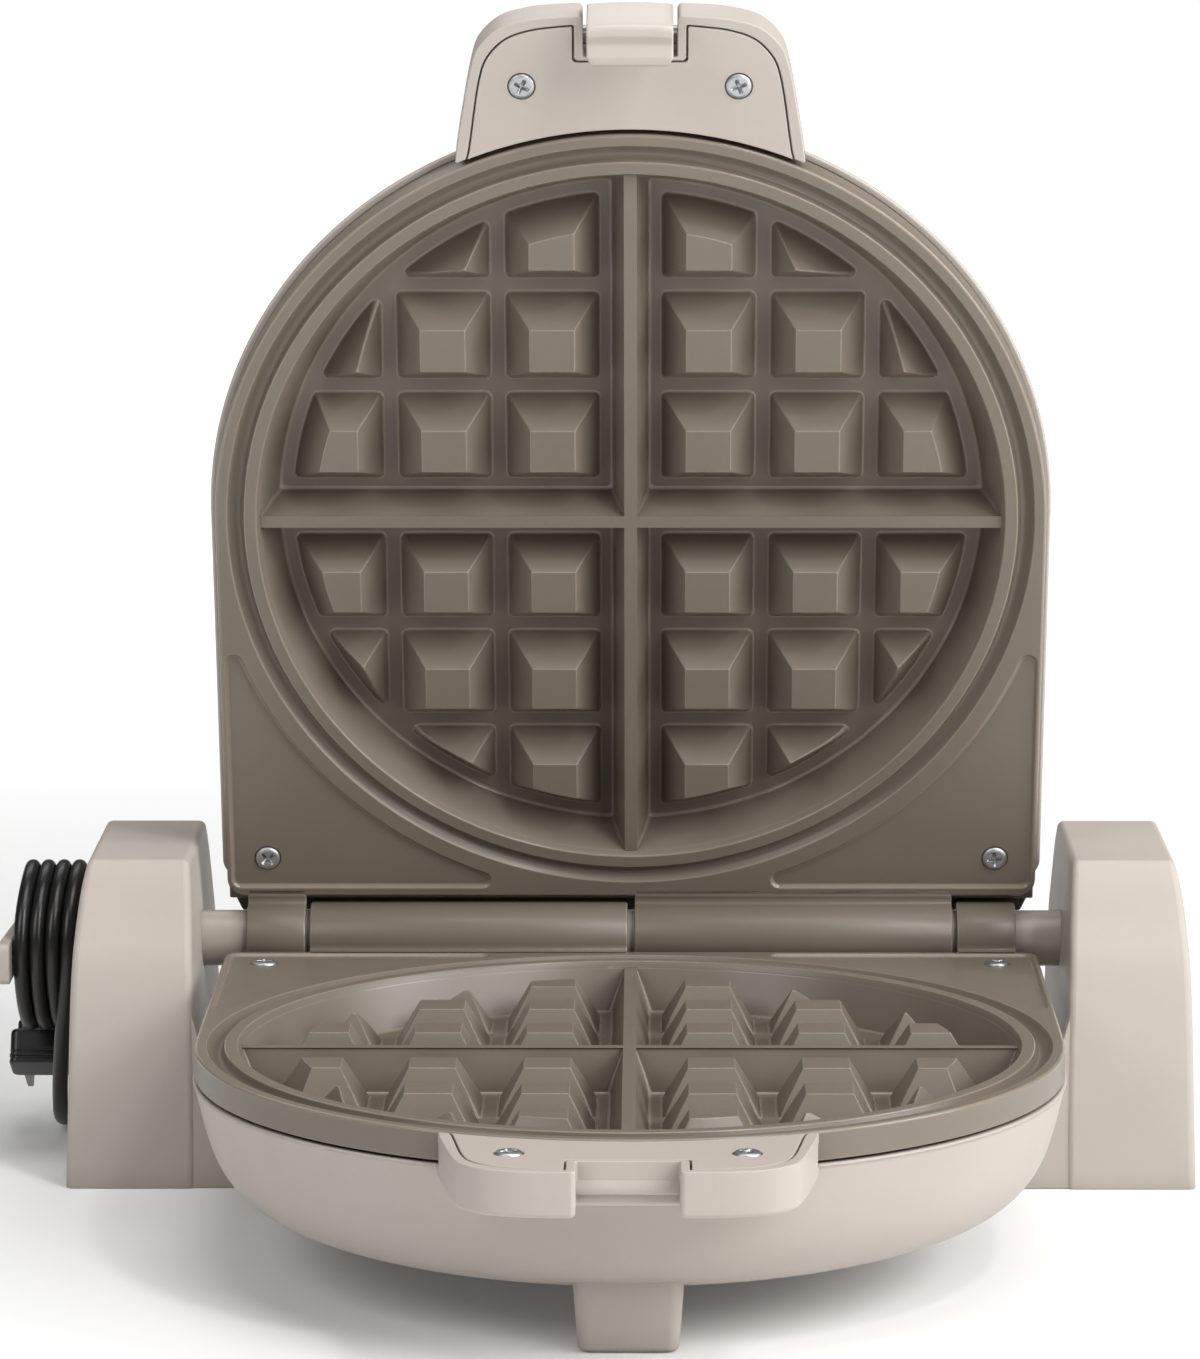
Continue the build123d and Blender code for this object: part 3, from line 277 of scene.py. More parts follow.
# ------------------------------------------------------------------ shells built ring by ring
class Shell:
    """points in mm and faces with a rank; a point's normal follows the highest-ranked faces round it, so that
    flat fields stay flat and only the rounded strips between them turn"""

    def __init__(self):
        self.v, self.f, self.rank = [], [], []

    def ring(self, pts):
        start = len(self.v)
        self.v += [Vector(p) for p in pts]
        return list(range(start, len(self.v)))

    def face(self, idx, rank=1):
        out = []
        for i in idx:
            if not out or i != out[-1]:
                out.append(i)
        if len(out) > 1 and out[0] == out[-1]:
            out.pop()
        if len(out) > 2:
            self.f.append(tuple(out))
            self.rank.append(rank)

    def bridge(self, a, b, rank=1, closed=True):
        n = len(a)
        for i in range(n if closed else n - 1):
            j = (i + 1) % n
            self.face((a[i], a[j], b[j], b[i]), rank)

    def stack(self, rings, ranks=None, closed=True):
        """bridge a list of rings of points; gives back their index lists"""
        idx = [self.ring(r) for r in rings]
        for k in range(len(idx) - 1):
            self.bridge(idx[k], idx[k + 1], ranks[k] if ranks else 1, closed)
        return idx

    def fan(self, ring, centre, rank=1):
        c = self.ring([centre])[0]
        n = len(ring)
        for i in range(n):
            self.face((ring[i], ring[(i + 1) % n], c), rank)

    def field(self, outer, holes=(), rank=3):
        """a flat field between a loop and the loops inside it"""
        loops = [list(outer)] + [list(h) for h in holes]
        flat = [i for lp in loops for i in lp]
        pts = [Vector((self.v[i].x, self.v[i].y)) for i in flat]
        edges, k = [], 0
        for lp in loops:
            n = len(lp)
            edges += [(k + i, k + (i + 1) % n) for i in range(n)]
            k += n
        tri = delaunay_2d_cdt(pts, edges, [], 0, 1e-7)
        vo, fo, src = tri[0], tri[2], tri[3]
        for i, q in enumerate(src):
            if not q:
                raise ValueError("a field's loops cross near %.2f, %.2f" % (vo[i].x, vo[i].y))
        poly = [[(self.v[i].x, self.v[i].y) for i in lp] for lp in loops]
        for f in fo:
            cx = sum(vo[i].x for i in f) / len(f)
            cy = sum(vo[i].y for i in f) / len(f)
            if within(cx, cy, poly[0]) and not any(within(cx, cy, h) for h in poly[1:]):
                self.face([flat[src[i][0]] for i in f], rank)

    def mesh(self, name, matrix, weld=None, reverse=False):
        me = bpy.data.meshes.new(name)
        me.from_pydata([tuple(matrix @ p) for p in self.v], [], self.f)
        bm = bmesh.new()
        bm.from_mesh(me)
        rk = bm.faces.layers.int.new("rank")
        for f, r in zip(bm.faces, self.rank):
            f[rk] = r
            f.smooth = True
        if weld:
            bmesh.ops.remove_doubles(bm, verts=bm.verts, dist=weld * MM)
        bmesh.ops.recalc_face_normals(bm, faces=bm.faces)
        bm.normal_update()
        bm.verts.index_update()
        normals = []
        for v in bm.verts:
            top = max((f[rk] for f in v.link_faces), default=0)
            n = Vector((0, 0, 0))
            for f in v.link_faces:
                if f[rk] == top:
                    n += f.normal * (f.calc_area() if top > 1 else corner_angle(f, v))
            normals.append(n.normalized() if n.length > 0 else Vector((0, 0, 1)))
        # marks the narrow rounded strips; the casting's finish gives them less roughness and a painted highlight
        narrow = [1.0 if f[rk] == 1 and f.calc_area() / max(max(e.calc_length() for e in f.edges), 1e-9) < 0.5 * MM else 0.0 for f in bm.faces]
        bm.to_mesh(me)
        bm.free()
        me.normals_split_custom_set_from_vertices(normals)
        at = me.attributes.new("strip", "FLOAT", "FACE")
        at.data.foreach_set("value", narrow)
        return me


def corner_angle(f, v):
    for lp in f.loops:
        if lp.vert == v:
            return lp.calc_angle()
    return 0.0


def within(x, y, poly):
    inside, j = False, len(poly) - 1
    for i in range(len(poly)):
        xi, yi = poly[i]
        xj, yj = poly[j]
        if (yi > y) != (yj > y) and x < (xj - xi) * (y - yi) / (yj - yi) + xi:
            inside = not inside
        j = i
    return inside


CY = -116.4                       # plate centre in a half's own frame


def meet(e1, e2, hint):
    """where two outline edges cross: a line is ("L", nx, ny, c), a circle about the plate's centre is ("C", r, side)"""
    if e1[0] == "C":
        e1, e2 = e2, e1
    _, nx, ny, c = e1
    if e2[0] == "L":
        _, mx, my, d = e2
        k = nx * my - ny * mx
        return Vector(((c * my - ny * d) / k, (nx * d - c * mx) / k))
    r = e2[1]
    h = c - ny * CY                # the line's distance from the centre
    s = math.sqrt(max(r * r - h * h, 0.0))
    a = Vector((nx * h - ny * s, CY + ny * h + nx * s))
    b = Vector((nx * h + ny * s, CY + ny * h - nx * s))
    return a if (a - hint).length < (b - hint).length else b


def shrunk(e, d):
    return ("L", e[1], e[2], e[3] - d) if e[0] == "L" else ("C", e[1] - e[2] * d, e[2])


def out_angle(e, p):
    if e[0] == "L":
        return math.atan2(e[2], e[1])
    return math.atan2(e[2] * (p.y - CY), e[2] * p.x)


def outline(edges, hints, inset, rho, arc=5, along=14):
    """loop round edges given anticlockwise, pulled in by inset, with corners of radius rho; hints[i] is near the
    corner of edge i and the next. Gives the points and, for each circle edge, the slice of points that lie on it"""
    n = len(edges)
    eff = [shrunk(e, inset + rho) for e in edges]
    cen = [meet(eff[i], eff[(i + 1) % n], hints[i]) for i in range(n)]
    pts, on = [], {}
    for i in range(n):
        a0 = out_angle(edges[i], cen[i])
        a1 = out_angle(edges[(i + 1) % n], cen[i])
        while a1 < a0:
            a1 += 2 * math.pi
        for k in range(arc + 1):
            a = a0 + (a1 - a0) * k / arc
            pts.append((cen[i].x + rho * math.cos(a), cen[i].y + rho * math.sin(a)))
        nxt = edges[(i + 1) % n]
        if nxt[0] == "C":
            b = cen[(i + 1) % n]
            t0 = math.atan2(pts[-1][1] - CY, pts[-1][0])
            t1 = math.atan2(b.y - CY, b.x)
            if nxt[2] > 0:
                while t1 < t0:
                    t1 += 2 * math.pi
            else:
                while t1 > t0:
                    t1 -= 2 * math.pi
            r = nxt[1] - nxt[2] * inset
            start = len(pts) - 1
            for k in range(1, along):
                t = t0 + (t1 - t0) * k / along
                pts.append((r * math.cos(t), CY + r * math.sin(t)))
            on[i] = (start, len(pts))       # first point on the arc, and the next corner's first point
    return pts, on


FLOOR_N, TOP_N, RIM_N = -13.5, -2.6, -1.3
FLANK = math.atan2(TOP_N - FLOOR_N, 11.6 - 5.575)      # from the floor, 61 degrees
KT = math.tan((math.pi - (math.pi - FLANK)) / 2)


def foot_rings(f, steps=4):
    """(outward, level) along the hollow fillet from the floor up to a flank"""
    return [(KT * f - f * math.sin(FLANK * k / steps), FLOOR_N + f - f * math.cos(FLANK * k / steps)) for k in range(steps + 1)]


def brow_rings(f, top, steps=3):
    """(outward, level) along the rounding from a flank to its flat top"""
    return [(-KT * f + f * math.sin(FLANK * (1 - k / steps)), top - f + f * math.cos(FLANK * (1 - k / steps))) for k in range(steps + 1)]


def pyramid(sh, sx, sy, gx, gy):
    """one batter pyramid, cut back along the cone that follows the cavity wall; gives its loop on the floor"""
    px, py = sx * gx, sy * gy
    kind = "Q"
    if (gx, gy) in ((73.3, 19.3), (19.3, 73.3)):
        kind = "A"
    if (gx, gy) in ((73.3, 46.3), (46.3, 73.3)):
        kind = "T"

    def edges_at(half, r):
        # in the first quadrant's sense, then mirrored
        x0, x1, y0, y1 = gx - half, gx + half, gy - half, gy + half
        lx0, lx1 = ("L", -1, 0, -x0), ("L", 1, 0, x1)
        ly0, ly1 = ("L", 0, -1, -(y0 + CY)), ("L", 0, 1, y1 + CY)
        circ = ("C", r, 1)
        if kind == "Q":
            return [lx0, ly0, lx1, ly1], [(x0, y0), (x1, y0), (x1, y1), (x0, y1)]
        if kind == "A" and gx > gy:
            return [lx0, ly0, circ, ly1], [(x0, y0), (r, y0), (math.sqrt(r * r - y1 * y1), y1), (x0, y1)]
        if kind == "A":
            return [lx0, ly0, lx1, circ], [(x0, y0), (x1, y0), (x1, math.sqrt(r * r - x1 * x1)), (x0, r)]
        return [lx0, ly0, circ], [(x0, y0), (math.sqrt(max(r * r - y0 * y0, 0)), y0), (x0, math.sqrt(max(r * r - x0 * x0, 0)))]

    def ring_at(half, r, level, rho, inset=0.0):
        e, h = edges_at(half, r)
        pts, _ = outline(e, [Vector((a, b + CY)) for a, b in h], inset, rho)
        pts = [(sx * x, sy * (y - CY) + CY, level) for x, y in pts]
        return pts if sx * sy > 0 else pts[::-1]

    rings, ranks = [], []
    for k, (o, lv) in enumerate(foot_rings(0.75)):
        rings.append(ring_at(11.6 + o, 84.6 + o, lv, 1.9 - 0.18 * k))
        ranks.append(1)
    ranks[-1] = 2

    def flank_at(lv, rho):
        t = (lv - FLOOR_N) / (TOP_N - FLOOR_N)
        return ring_at(11.6 + (5.575 - 11.6) * t, 84.6 - 6.0 * t, lv, rho)

    rings.append(flank_at(-11.6, 0.75))
    ranks.append(2)
    rings.append(flank_at(-8.6, 0.42))
    ranks.append(2)
    if kind != "T":
        for k, (o, lv) in enumerate(brow_rings(0.34, TOP_N)):
            rings.append(ring_at(5.575 + o, 78.6 + o, lv, 0.34 - 0.02 * k))
            ranks.append(1)
        idx = sh.stack(rings, ranks)
        sh.face(idx[-1], 3)
    else:
        rings.append(flank_at(-5.2, 0.30))
        ranks.append(2)
        rings.append(flank_at(-3.75, 0.17))
        ranks.append(1)
        idx = sh.stack(rings, ranks)
        last = rings[-1]
        c = Vector((0, 0, 0))
        for p in last:
            c += Vector(p)
        c /= len(last)
        top = [tuple(Vector(p).lerp(Vector((c.x, c.y, -3.55)), 0.55)) for p in last]
        i2 = sh.ring([(x, y, -3.50) for x, y, _ in top])
        sh.bridge(idx[-1], i2, 1)
        sh.fan(i2, (c.x, c.y, -3.43), 1)
    return idx[0]


def pocket(sh, sx, sy):
    """a quarter of the cavity between the two ribs: gives its floor loop, top loop and the top loop's wall slice"""
    def edges_at(w, r):
        e = [("L", -1, 0, -w), ("L", 0, -1, -(w + CY)), ("C", r, 1)]
        h = [Vector((w, w + CY)), Vector((r, w + CY)), Vector((w, r + CY))]
        return e, h

    def ring_at(w, r, level, rho):
        e, h = edges_at(w, r)
        pts, on = outline(e, h, 0.0, rho, arc=5, along=30)
        pts = [(sx * x, sy * (y - CY) + CY, level) for x, y in pts]
        return pts, on

    def wall_r(n):
        return 88.4 + (n - FLOOR_N) * (93.3 - 88.4) / (RIM_N - FLOOR_N)

    rings, ranks = [], []
    f = 0.9
    for k in range(5):
        a = FLANK * k / 4
        lv = FLOOR_N + f - f * math.cos(a)
        rings.append((4.6 + KT * f - f * math.sin(a), 88.3 - 0.9 + 1.0 * math.sin(a * 1.2) , lv, 1.6 - 0.1 * k))
        ranks.append(1)
    ranks[-1] = 2
    rings.append((2.95, wall_r(-8.4), -8.4, 0.8))
    ranks.append(2)
    for k in range(4):
        a = FLANK * (1 - k / 3)
        lv = -3.0 - 0.42 + 0.42 * math.cos(a)
        rings.append((1.45 + KT * 0.42 - 0.42 * math.sin(a) - 0.12, wall_r(lv), lv, 0.4 - 0.1 * k))
        ranks.append(1)
    idx, on = [], None
    for w, r, lv, rho in rings:
        pts, on = ring_at(w, r, lv, rho)
        idx.append(sh.ring(pts))
    for k in range(len(idx) - 1):
        sh.bridge(idx[k], idx[k + 1], ranks[k])
    return idx[0], idx[-1], on


def plate_shell():
    sh = Shell()
    quarter = {}
    for sx, sy in ((1, 1), (-1, 1), (-1, -1), (1, -1)):
        base, top, on = pocket(sh, sx, sy)
        loops = [pyramid(sh, sx, sy, gx, gy) for gx in (19.3, 46.3, 73.3) for gy in (19.3, 46.3, 73.3) if not gx == gy == 73.3]
        sh.field(base, loops)
        quarter[(sx, sy)] = (top, on)
    # level of the rib tops: a cross-shaped flat, and the full circle of the wall
    circle, cross = [], []
    order = ((1, 1), (-1, 1), (-1, -1), (1, -1))       # anticlockwise
    for q, (sx, sy) in enumerate(order):
        top, on = quarter[(sx, sy)]
        (s, e), = on.values()
        wall = top[s:e + 1] if e < len(top) else top[s:] + [top[0]]
        rest_ = [top[(e + k) % len(top)] for k in range(len(top) - (e - s) + 1)]
        if sx * sy < 0:
            wall, rest_ = wall[::-1], rest_[::-1]
        # wall runs anticlockwise from its first point; rest_ goes back from its last to its first inside
        nxt_top, nxt_on = quarter[order[(q + 1) % 4]]
        (s2, e2), = nxt_on.values()
        nwall = nxt_top[s2:e2 + 1] if e2 < len(nxt_top) else nxt_top[s2:] + [nxt_top[0]]
        nsx, nsy = order[(q + 1) % 4]
        if nsx * nsy < 0:
            nwall = nwall[::-1]
        a, b = sh.v[wall[-1]], sh.v[nwall[0]]
        r = math.hypot(a.x, a.y - CY)
        t0, t1 = math.atan2(a.y - CY, a.x), math.atan2(b.y - CY, b.x)
        while t1 < t0:
            t1 += 2 * math.pi
        gap = sh.ring([(r * math.cos(t0 + (t1 - t0) * k / 4), CY + r * math.sin(t0 + (t1 - t0) * k / 4), a.z) for k in (1, 2, 3)])
        circle += wall + gap
        cross += rest_[::-1] if rest_[0] == wall[-1] else rest_
        cross += gap
    # cross: for each quarter its inner path from the wall's start to its end, then the short arc across the rib's end
    sh.field(cross)
    angles = [math.atan2(sh.v[i].y - CY, sh.v[i].x) for i in circle]

    def turn(r, n):
        return [(r * math.cos(a), CY + r * math.sin(a), n) for a in angles]

    def rounded(r0, n0, r1, n1, cr, cn, rad, a0, a1, steps):
        return [(cr + rad * math.cos(math.radians(a0 + (a1 - a0) * k / steps)),
                 cn + rad * math.sin(math.radians(a0 + (a1 - a0) * k / steps))) for k in range(steps + 1)]

    prof = [(92.75, -2.5)]
    ranks = [1, 1]
    # inner brow of the ring, its flat top, outer brow
    prof += rounded(0, 0, 0, 0, 93.72, RIM_N - 0.42, 0.42, 157, 90, 4)
    ranks += [1, 1, 1, 1, 2]
    prof += rounded(0, 0, 0, 0, 96.25, RIM_N - 0.42, 0.42, 90, 12, 4)
    ranks += [1, 1, 1, 1, 1]
    # moat: steep inner side, round bottom, long outer slope
    prof += [(97.0, RIM_N - 1.45), (97.35, RIM_N - 1.95), (97.95, RIM_N - 2.2), (98.7, RIM_N - 2.12), (99.3, RIM_N - 1.8), (100.2, RIM_N - 1.0)]
    ranks += [1, 1, 1, 1, 1, 1]
    prof += rounded(0, 0, 0, 0, 101.05, RIM_N - 0.5, 0.5, 140, 90, 3)
    ranks += [1, 1, 1, 1]
    idx = [circle] + [sh.ring(turn(r, n)) for r, n in prof]
    for k in range(len(idx) - 1):
        sh.bridge(idx[k], idx[k + 1], ranks[k])
    moat = idx[-1]

    # corner panels
    holes = []
    for sx in (1, -1):
        e = [("L", 1, 0, 102.5), ("L", 0, 1, -13.8), ("C", 105.0, -1)]
        h = [Vector((102.5, -13.8)), Vector((21.85, -13.8)), Vector((102.5, -95.0))]
        rings, ranks_ = [], []
        for o, lv, rk in ((-0.24, RIM_N, 1), (-0.11, RIM_N - 0.04, 1), (0.05, RIM_N - 0.17, 1), (0.30, RIM_N - 0.55, 1),
                          (0.50, RIM_N - 0.78, 1), (0.72, RIM_N - 0.87, 1), (0.98, RIM_N - 0.9, 1)):
            pts, _ = outline(e, h, o, 2.3 - o if o < 0 else max(2.3 - o, 0.6), arc=8, along=26)
            pts = [(sx * x, y, lv) for x, y in pts]
            rings.append(pts if sx > 0 else pts[::-1])
            ranks_.append(rk)
        idp = sh.stack(rings, ranks_)
        holes.append(idp[0])
        # screw seat
        seat = []
        for r, lv in ((3.6, RIM_N - 0.9), (3.4, RIM_N - 1.0), (3.35, RIM_N - 1.7)):
            seat.append([(sx * 93.2 + r * math.cos(2 * math.pi * k / 36), -22 + r * math.sin(2 * math.pi * k / 36), lv) for k in range(36)])
        ids = sh.stack(seat)
        sh.face(ids[-1], 3)
        sh.field(idp[-1], [ids[0]])

    # rim, skirt and underside
    def d_loop(inset, n, corner=4.5):
        r, h, c = 103.7 - inset, 11.4 + inset, max(corner - inset, 0.6)
        pts = []
        for k in range(9):
            a = math.pi / 2 * k / 8
            pts.append((r - c + c * math.cos(a), -(h + c) + c * math.sin(a), n))
        for k in range(9):
            a = math.pi / 2 + math.pi / 2 * k / 8
            pts.append((-(r - c) + c * math.cos(a), -(h + c) + c * math.sin(a), n))
        for k in range(121):
            a = math.pi + math.pi * k / 120
            pts.append((r * math.cos(a), CY + r * math.sin(a), n))
        return pts

    rim = []
    for k in range(6):
        a = math.pi / 2 * k / 5
        rim.append(d_loop(0.7 - 0.7 * math.sin(a), RIM_N - 0.7 + 0.7 * math.cos(a)))
    rim += [d_loop(0.0, -7.9), d_loop(0.12, -8.17), d_loop(0.4, -8.3), d_loop(2.5, -8.3), d_loop(2.8, -8.0), d_loop(2.8, -4.6)]
    idr = sh.stack(rim, [1, 1, 1, 1, 1, 2, 1, 1, 2, 1, 2])
    sh.field(idr[0], [moat] + holes)
    dish = [[(r * math.cos(2 * math.pi * k / 96), CY + r * math.sin(2 * math.pi * k / 96), n) for k in range(96)]
            for r, n in ((98.8, -4.6), (90.2, -16.2), (89.2, -16.9), (87.5, -17.0))]
    idd = sh.stack(dish, [2, 1, 1])
    sh.field(idr[-1], [idd[0]])
    sh.face(idd[-1], 3)

    # hinge knuckles: barrel and web in one outline, bored through
    for x0, x1 in ((-82.4, -0.9), (83.5, 98.6)):
        def barrel(x, grow):
            pts = [(-13.0, RIM_N + min(grow, 0)), (-11.0, RIM_N + grow), (-9.75, RIM_N + grow)]
            r = 9.5 + grow
            a0 = math.pi - math.asin((RIM_N + 0.5 + grow) / -r) * -1
            a0 = math.pi + math.asin(-(RIM_N + 0.42) / r)
            a1 = -math.pi + math.radians(68)
            for k in range(49):
                a = a0 - (a0 - (a1 + 0)) * k / 48
                pts.append((r * math.cos(a), r * math.sin(a)))
            pts += [(-4.4, -8.62 - grow), (-13.0, -8.2 - min(grow, 0))]
            return [(x, y, n) for y, n in pts]

        rings = [barrel(x0, -0.45), barrel(x0 + 0.12, -0.14), barrel(x0 + 0.45, 0.0), barrel(x1 - 0.45, 0.0), barrel(x1 - 0.12, -0.14), barrel(x1, -0.45)]
        idb = sh.stack(rings, [1, 1, 1, 1, 1])

        def bore(x, r):
            return [(x, r * math.cos(2 * math.pi * k / 48), r * math.sin(2 * math.pi * k / 48)) for k in range(48)]

        idi = sh.stack([bore(x0, 7.5), bore(x0 + 0.3, 7.2), bore(x1 - 0.3, 7.2), bore(x1, 7.5)])
        for outer, inner in ((idb[0], idi[0]), (idb[-1], idi[-1])):
            side_field(sh, outer, inner)
    return sh


def side_field(sh, outer, inner):
    """flat end face, across x, between an outline and the bore in it"""
    flat = list(outer) + list(inner)
    pts = [Vector((sh.v[i].y, sh.v[i].z)) for i in flat]
    n, m = len(outer), len(inner)
    edges = [(i, (i + 1) % n) for i in range(n)] + [(n + i, n + (i + 1) % m) for i in range(m)]
    tri = delaunay_2d_cdt(pts, edges, [], 0, 1e-7)
    o = [(sh.v[i].y, sh.v[i].z) for i in outer]
    h = [(sh.v[i].y, sh.v[i].z) for i in inner]
    for f in tri[2]:
        cx = sum(tri[0][i].x for i in f) / len(f)
        cy = sum(tri[0][i].y for i in f) / len(f)
        if within(cx, cy, o) and not within(cx, cy, h):
            sh.face([flat[tri[3][i][0]] for i in f], 3)



# ------------------------------------------------------------------ outlines
def rounded_path(pts, segs=6):
    """closed outline from (x, y) or (x, y, radius) corners"""
    out, n = [], len(pts)
    for i in range(n):
        p = Vector(pts[i][:2])
        r = pts[i][2] if len(pts[i]) > 2 else 0.0
        if not r:
            out.append(p)
            continue
        a = (Vector(pts[i - 1][:2]) - p)
        b = (Vector(pts[(i + 1) % n][:2]) - p)
        la, lb = a.length, b.length
        a.normalize()
        b.normalize()
        ang = a.angle(b)
        t = min(r / math.tan(ang / 2), la * 0.49, lb * 0.49)
        rr = t * math.tan(ang / 2)
        mid = (a + b).normalized()
        c = p + mid * (rr / math.sin(ang / 2))
        s, e = p + a * t - c, p + b * t - c
        a0, a1 = math.atan2(s.y, s.x), math.atan2(e.y, e.x)
        d = (a1 - a0 + math.pi) % (2 * math.pi) - math.pi
        for k in range(segs + 1):
            t_ = a0 + d * k / segs
            out.append(c + Vector((math.cos(t_), math.sin(t_))) * rr)
    return out


def area2(loop):
    return sum(a.x * b.y - b.x * a.y for a, b in zip(loop, loop[1:] + loop[:1]))


def inward(loop, d):
    """the outline pulled in by d, point for point"""
    sgn = 1.0 if area2(loop) > 0 else -1.0
    out, n = [], len(loop)
    for i in range(n):
        p = loop[i]
        e0, e1 = p - loop[i - 1], loop[(i + 1) % n] - p
        if e0.length < 1e-9 or e1.length < 1e-9:
            e = e1 if e0.length < 1e-9 else e0
            e0 = e1 = e
        n0 = Vector((-e0.y, e0.x)).normalized() * sgn
        n1 = Vector((-e1.y, e1.x)).normalized() * sgn
        m = n0 + n1
        if m.length < 1e-6:
            m = n0
        m.normalize()
        out.append(p + m * (d / max(m.dot(n0), 0.4)))
    return out


def curve_through(pts, per=6, closed=False):
    """smooth line through points"""
    p = [Vector(q) for q in pts]
    out = []
    for i in range(len(p) - 1):
        p0 = p[i - 1] if i else p[0] * 2 - p[1]
        p3 = p[i + 2] if i + 2 < len(p) else p[-1] * 2 - p[-2]
        p1, p2 = p[i], p[i + 1]
        d0, d1, d2 = max((p1 - p0).length, 1e-6) ** 0.5, max((p2 - p1).length, 1e-6) ** 0.5, max((p3 - p2).length, 1e-6) ** 0.5
        m1 = ((p1 - p0) / d0 - (p2 - p0) / (d0 + d1) + (p2 - p1) / d1) * d1
        m2 = ((p2 - p1) / d1 - (p3 - p1) / (d1 + d2) + (p3 - p2) / d2) * d1
        for k in range(per):
            t = k / per
            out.append(p1 * (2 * t ** 3 - 3 * t ** 2 + 1) + m1 * (t ** 3 - 2 * t ** 2 + t) + p2 * (-2 * t ** 3 + 3 * t ** 2) + m2 * (t ** 3 - t ** 2))
    out.append(p[-1])
    return out


def prism(sh, loop, z0, z1, r0, r1, at, holes=(), steps=3, cap_rank=3, flare=1.0):
    """extruded outline with rounded edges: r0 and r1 are the roundings at z0 and z1; at(x, y, z) places a point.
    holes are loops cut right through, with the same roundings opening outwards, flare times as wide"""
    n0, n1 = (steps if r0 else 1), (steps if r1 else 1)
    r0, r1 = r0 or 0.03, r1 or 0.03

    def rings(lp, sign):
        seq = []
        for k in range(n0 + 1):
            a = math.pi / 2 * k / n0
            seq.append((sign * r0 * (1 - math.sin(a)), z0 + (r0 - r0 * math.cos(a))))
        for k in range(n1 + 1):
            a = math.pi / 2 * (1 - k / n1)
            seq.append((sign * r1 * (1 - math.sin(a)), z1 - (r1 - r1 * math.cos(a))))
        return [[(q.x, q.y, z) for q in inward(lp, d)] for d, z in seq], len(seq)

    body, n = rings(loop, 1.0)
    local = Shell()
    rk = [1] * (n - 1)
    rk[n0] = 2
    idx = local.stack(body, rk)
    inner = []
    for h in holes:
        hr, _ = rings(h, -flare)
        inner.append(local.stack(hr, rk))
    local.field(idx[0], [i[0] for i in inner], cap_rank)
    local.field(idx[-1], [i[-1] for i in inner], cap_rank)
    base = len(sh.v)
    sh.v += [Vector(at(*p)) for p in local.v]
    for f, r in zip(local.f, local.rank):
        sh.f.append(tuple(i + base for i in f))
        sh.rank.append(r)
    return idx


# ------------------------------------------------------------------ housings: bowl, handle tray and foot
BOWL_KEYS = ((-8.9, 104.0, 12.6, 5.0), (-14.0, 102.8, 12.9, 6.0), (-20.0, 101.4, 14.2, 8.5), (-26.0, 99.4, 17.2, 12.0),
             (-31.0, 96.6, 21.5, 17.0), (-35.5, 92.2, 27.5, 24.0), (-39.0, 85.8, 35.0, 32.0), (-42.0, 75.4, 46.0, 39.0),
             (-44.2, 58.0, 62.0, 38.0), (-45.4, 34.0, 84.0, 26.0))
WALL = 2.2
TRAY_FLOOR = -11.8
NOTCH = 11.4


def bowl_ring(n, r, h, c):
    pts = []
    c = min(c, r - 2.0)
    for k in range(15):
        a = math.pi / 2 * k / 14
        pts.append((r - c + c * math.cos(a), -(h + c) + c * math.sin(a), n))
    for k in range(1, 9):
        pts.append(((r - c) * (1 - 2 * k / 9), -h, n))
    for k in range(15):
        a = math.pi / 2 + math.pi / 2 * k / 14
        pts.append((-(r - c) + c * math.cos(a), -(h + c) + c * math.sin(a), n))
    for k in range(1, 8):
        pts.append((-r, -(h + c) + (CY + h + c) * k / 8, n))
    for k in range(121):
        a = math.pi + math.pi * k / 120
        pts.append((r * math.cos(a), CY + r * math.sin(a), n))
    for k in range(1, 8):
        pts.append((r, CY + (-(h + c) - CY) * k / 8, n))
    return pts


def smooth_keys(keys, per):
    p = [Vector(k) for k in keys]
    line = []
    for i in range(len(p) - 1):
        p0 = p[i - 1] if i else p[0] * 2 - p[1]
        p3 = p[i + 2] if i + 2 < len(p) else p[-1] * 2 - p[-2]
        p1, p2 = p[i], p[i + 1]
        f = lambda a, b: max((a - b).length, 1e-6) ** 0.5
        d0, d1, d2 = f(p1, p0), f(p2, p1), f(p3, p2)
        m1 = ((p1 - p0) / d0 - (p2 - p0) / (d0 + d1) + (p2 - p1) / d1) * d1
        m2 = ((p2 - p1) / d1 - (p3 - p1) / (d1 + d2) + (p3 - p2) / d2) * d1
        for k in range(per):
            t = k / per
            line.append(p1 * (2 * t ** 3 - 3 * t ** 2 + 1) + m1 * (t ** 3 - 2 * t ** 2 + t) + p2 * (-2 * t ** 3 + 3 * t ** 2) + m2 * (t ** 3 - t ** 2))
    line.append(p[-1])
    return line


def arc_l(r, x):
    """how far out a circle about the plate's centre lies at x"""
    return 116.4 + math.sqrt(r * r - x * x)


def side_of(points, d, start):
    """smooth left side of an outline as (x, -l), moved in by d, from the level start outwards"""
    line = curve_through(points, 5)
    out = []
    for i, p in enumerate(line):
        t = (line[min(i + 1, len(line) - 1)] - line[max(i - 1, 0)]).normalized()
        q = p + Vector((t.y, -t.x)) * d
        if q.y > start:
            out.append((q.x, -q.y))
    return out


TRAY_SIDE = [(-42.6, 208.0), (-42.5, 212.8), (-40.6, 225.5), (-38.2, 238.0), (-36.6, 242.3), (-31.6, 247.2), (-24.0, 249.5), (-17.0, 250.15), (-NOTCH, 250.4)]
SEAT_SIDE = [(-40.4, 208.0), (-39.0, 218.0), (-35.95, 236.9), (-33.8, 241.1), (-29.8, 244.8), (-23.8, 246.9), (-18.0, 247.7), (-13.5, 248.1)]
TRAY_R, TRAY_X = 105.1, 42.5


def mirrored(pts):
    return [(-q[0],) + tuple(q[1:]) for q in reversed(pts)]


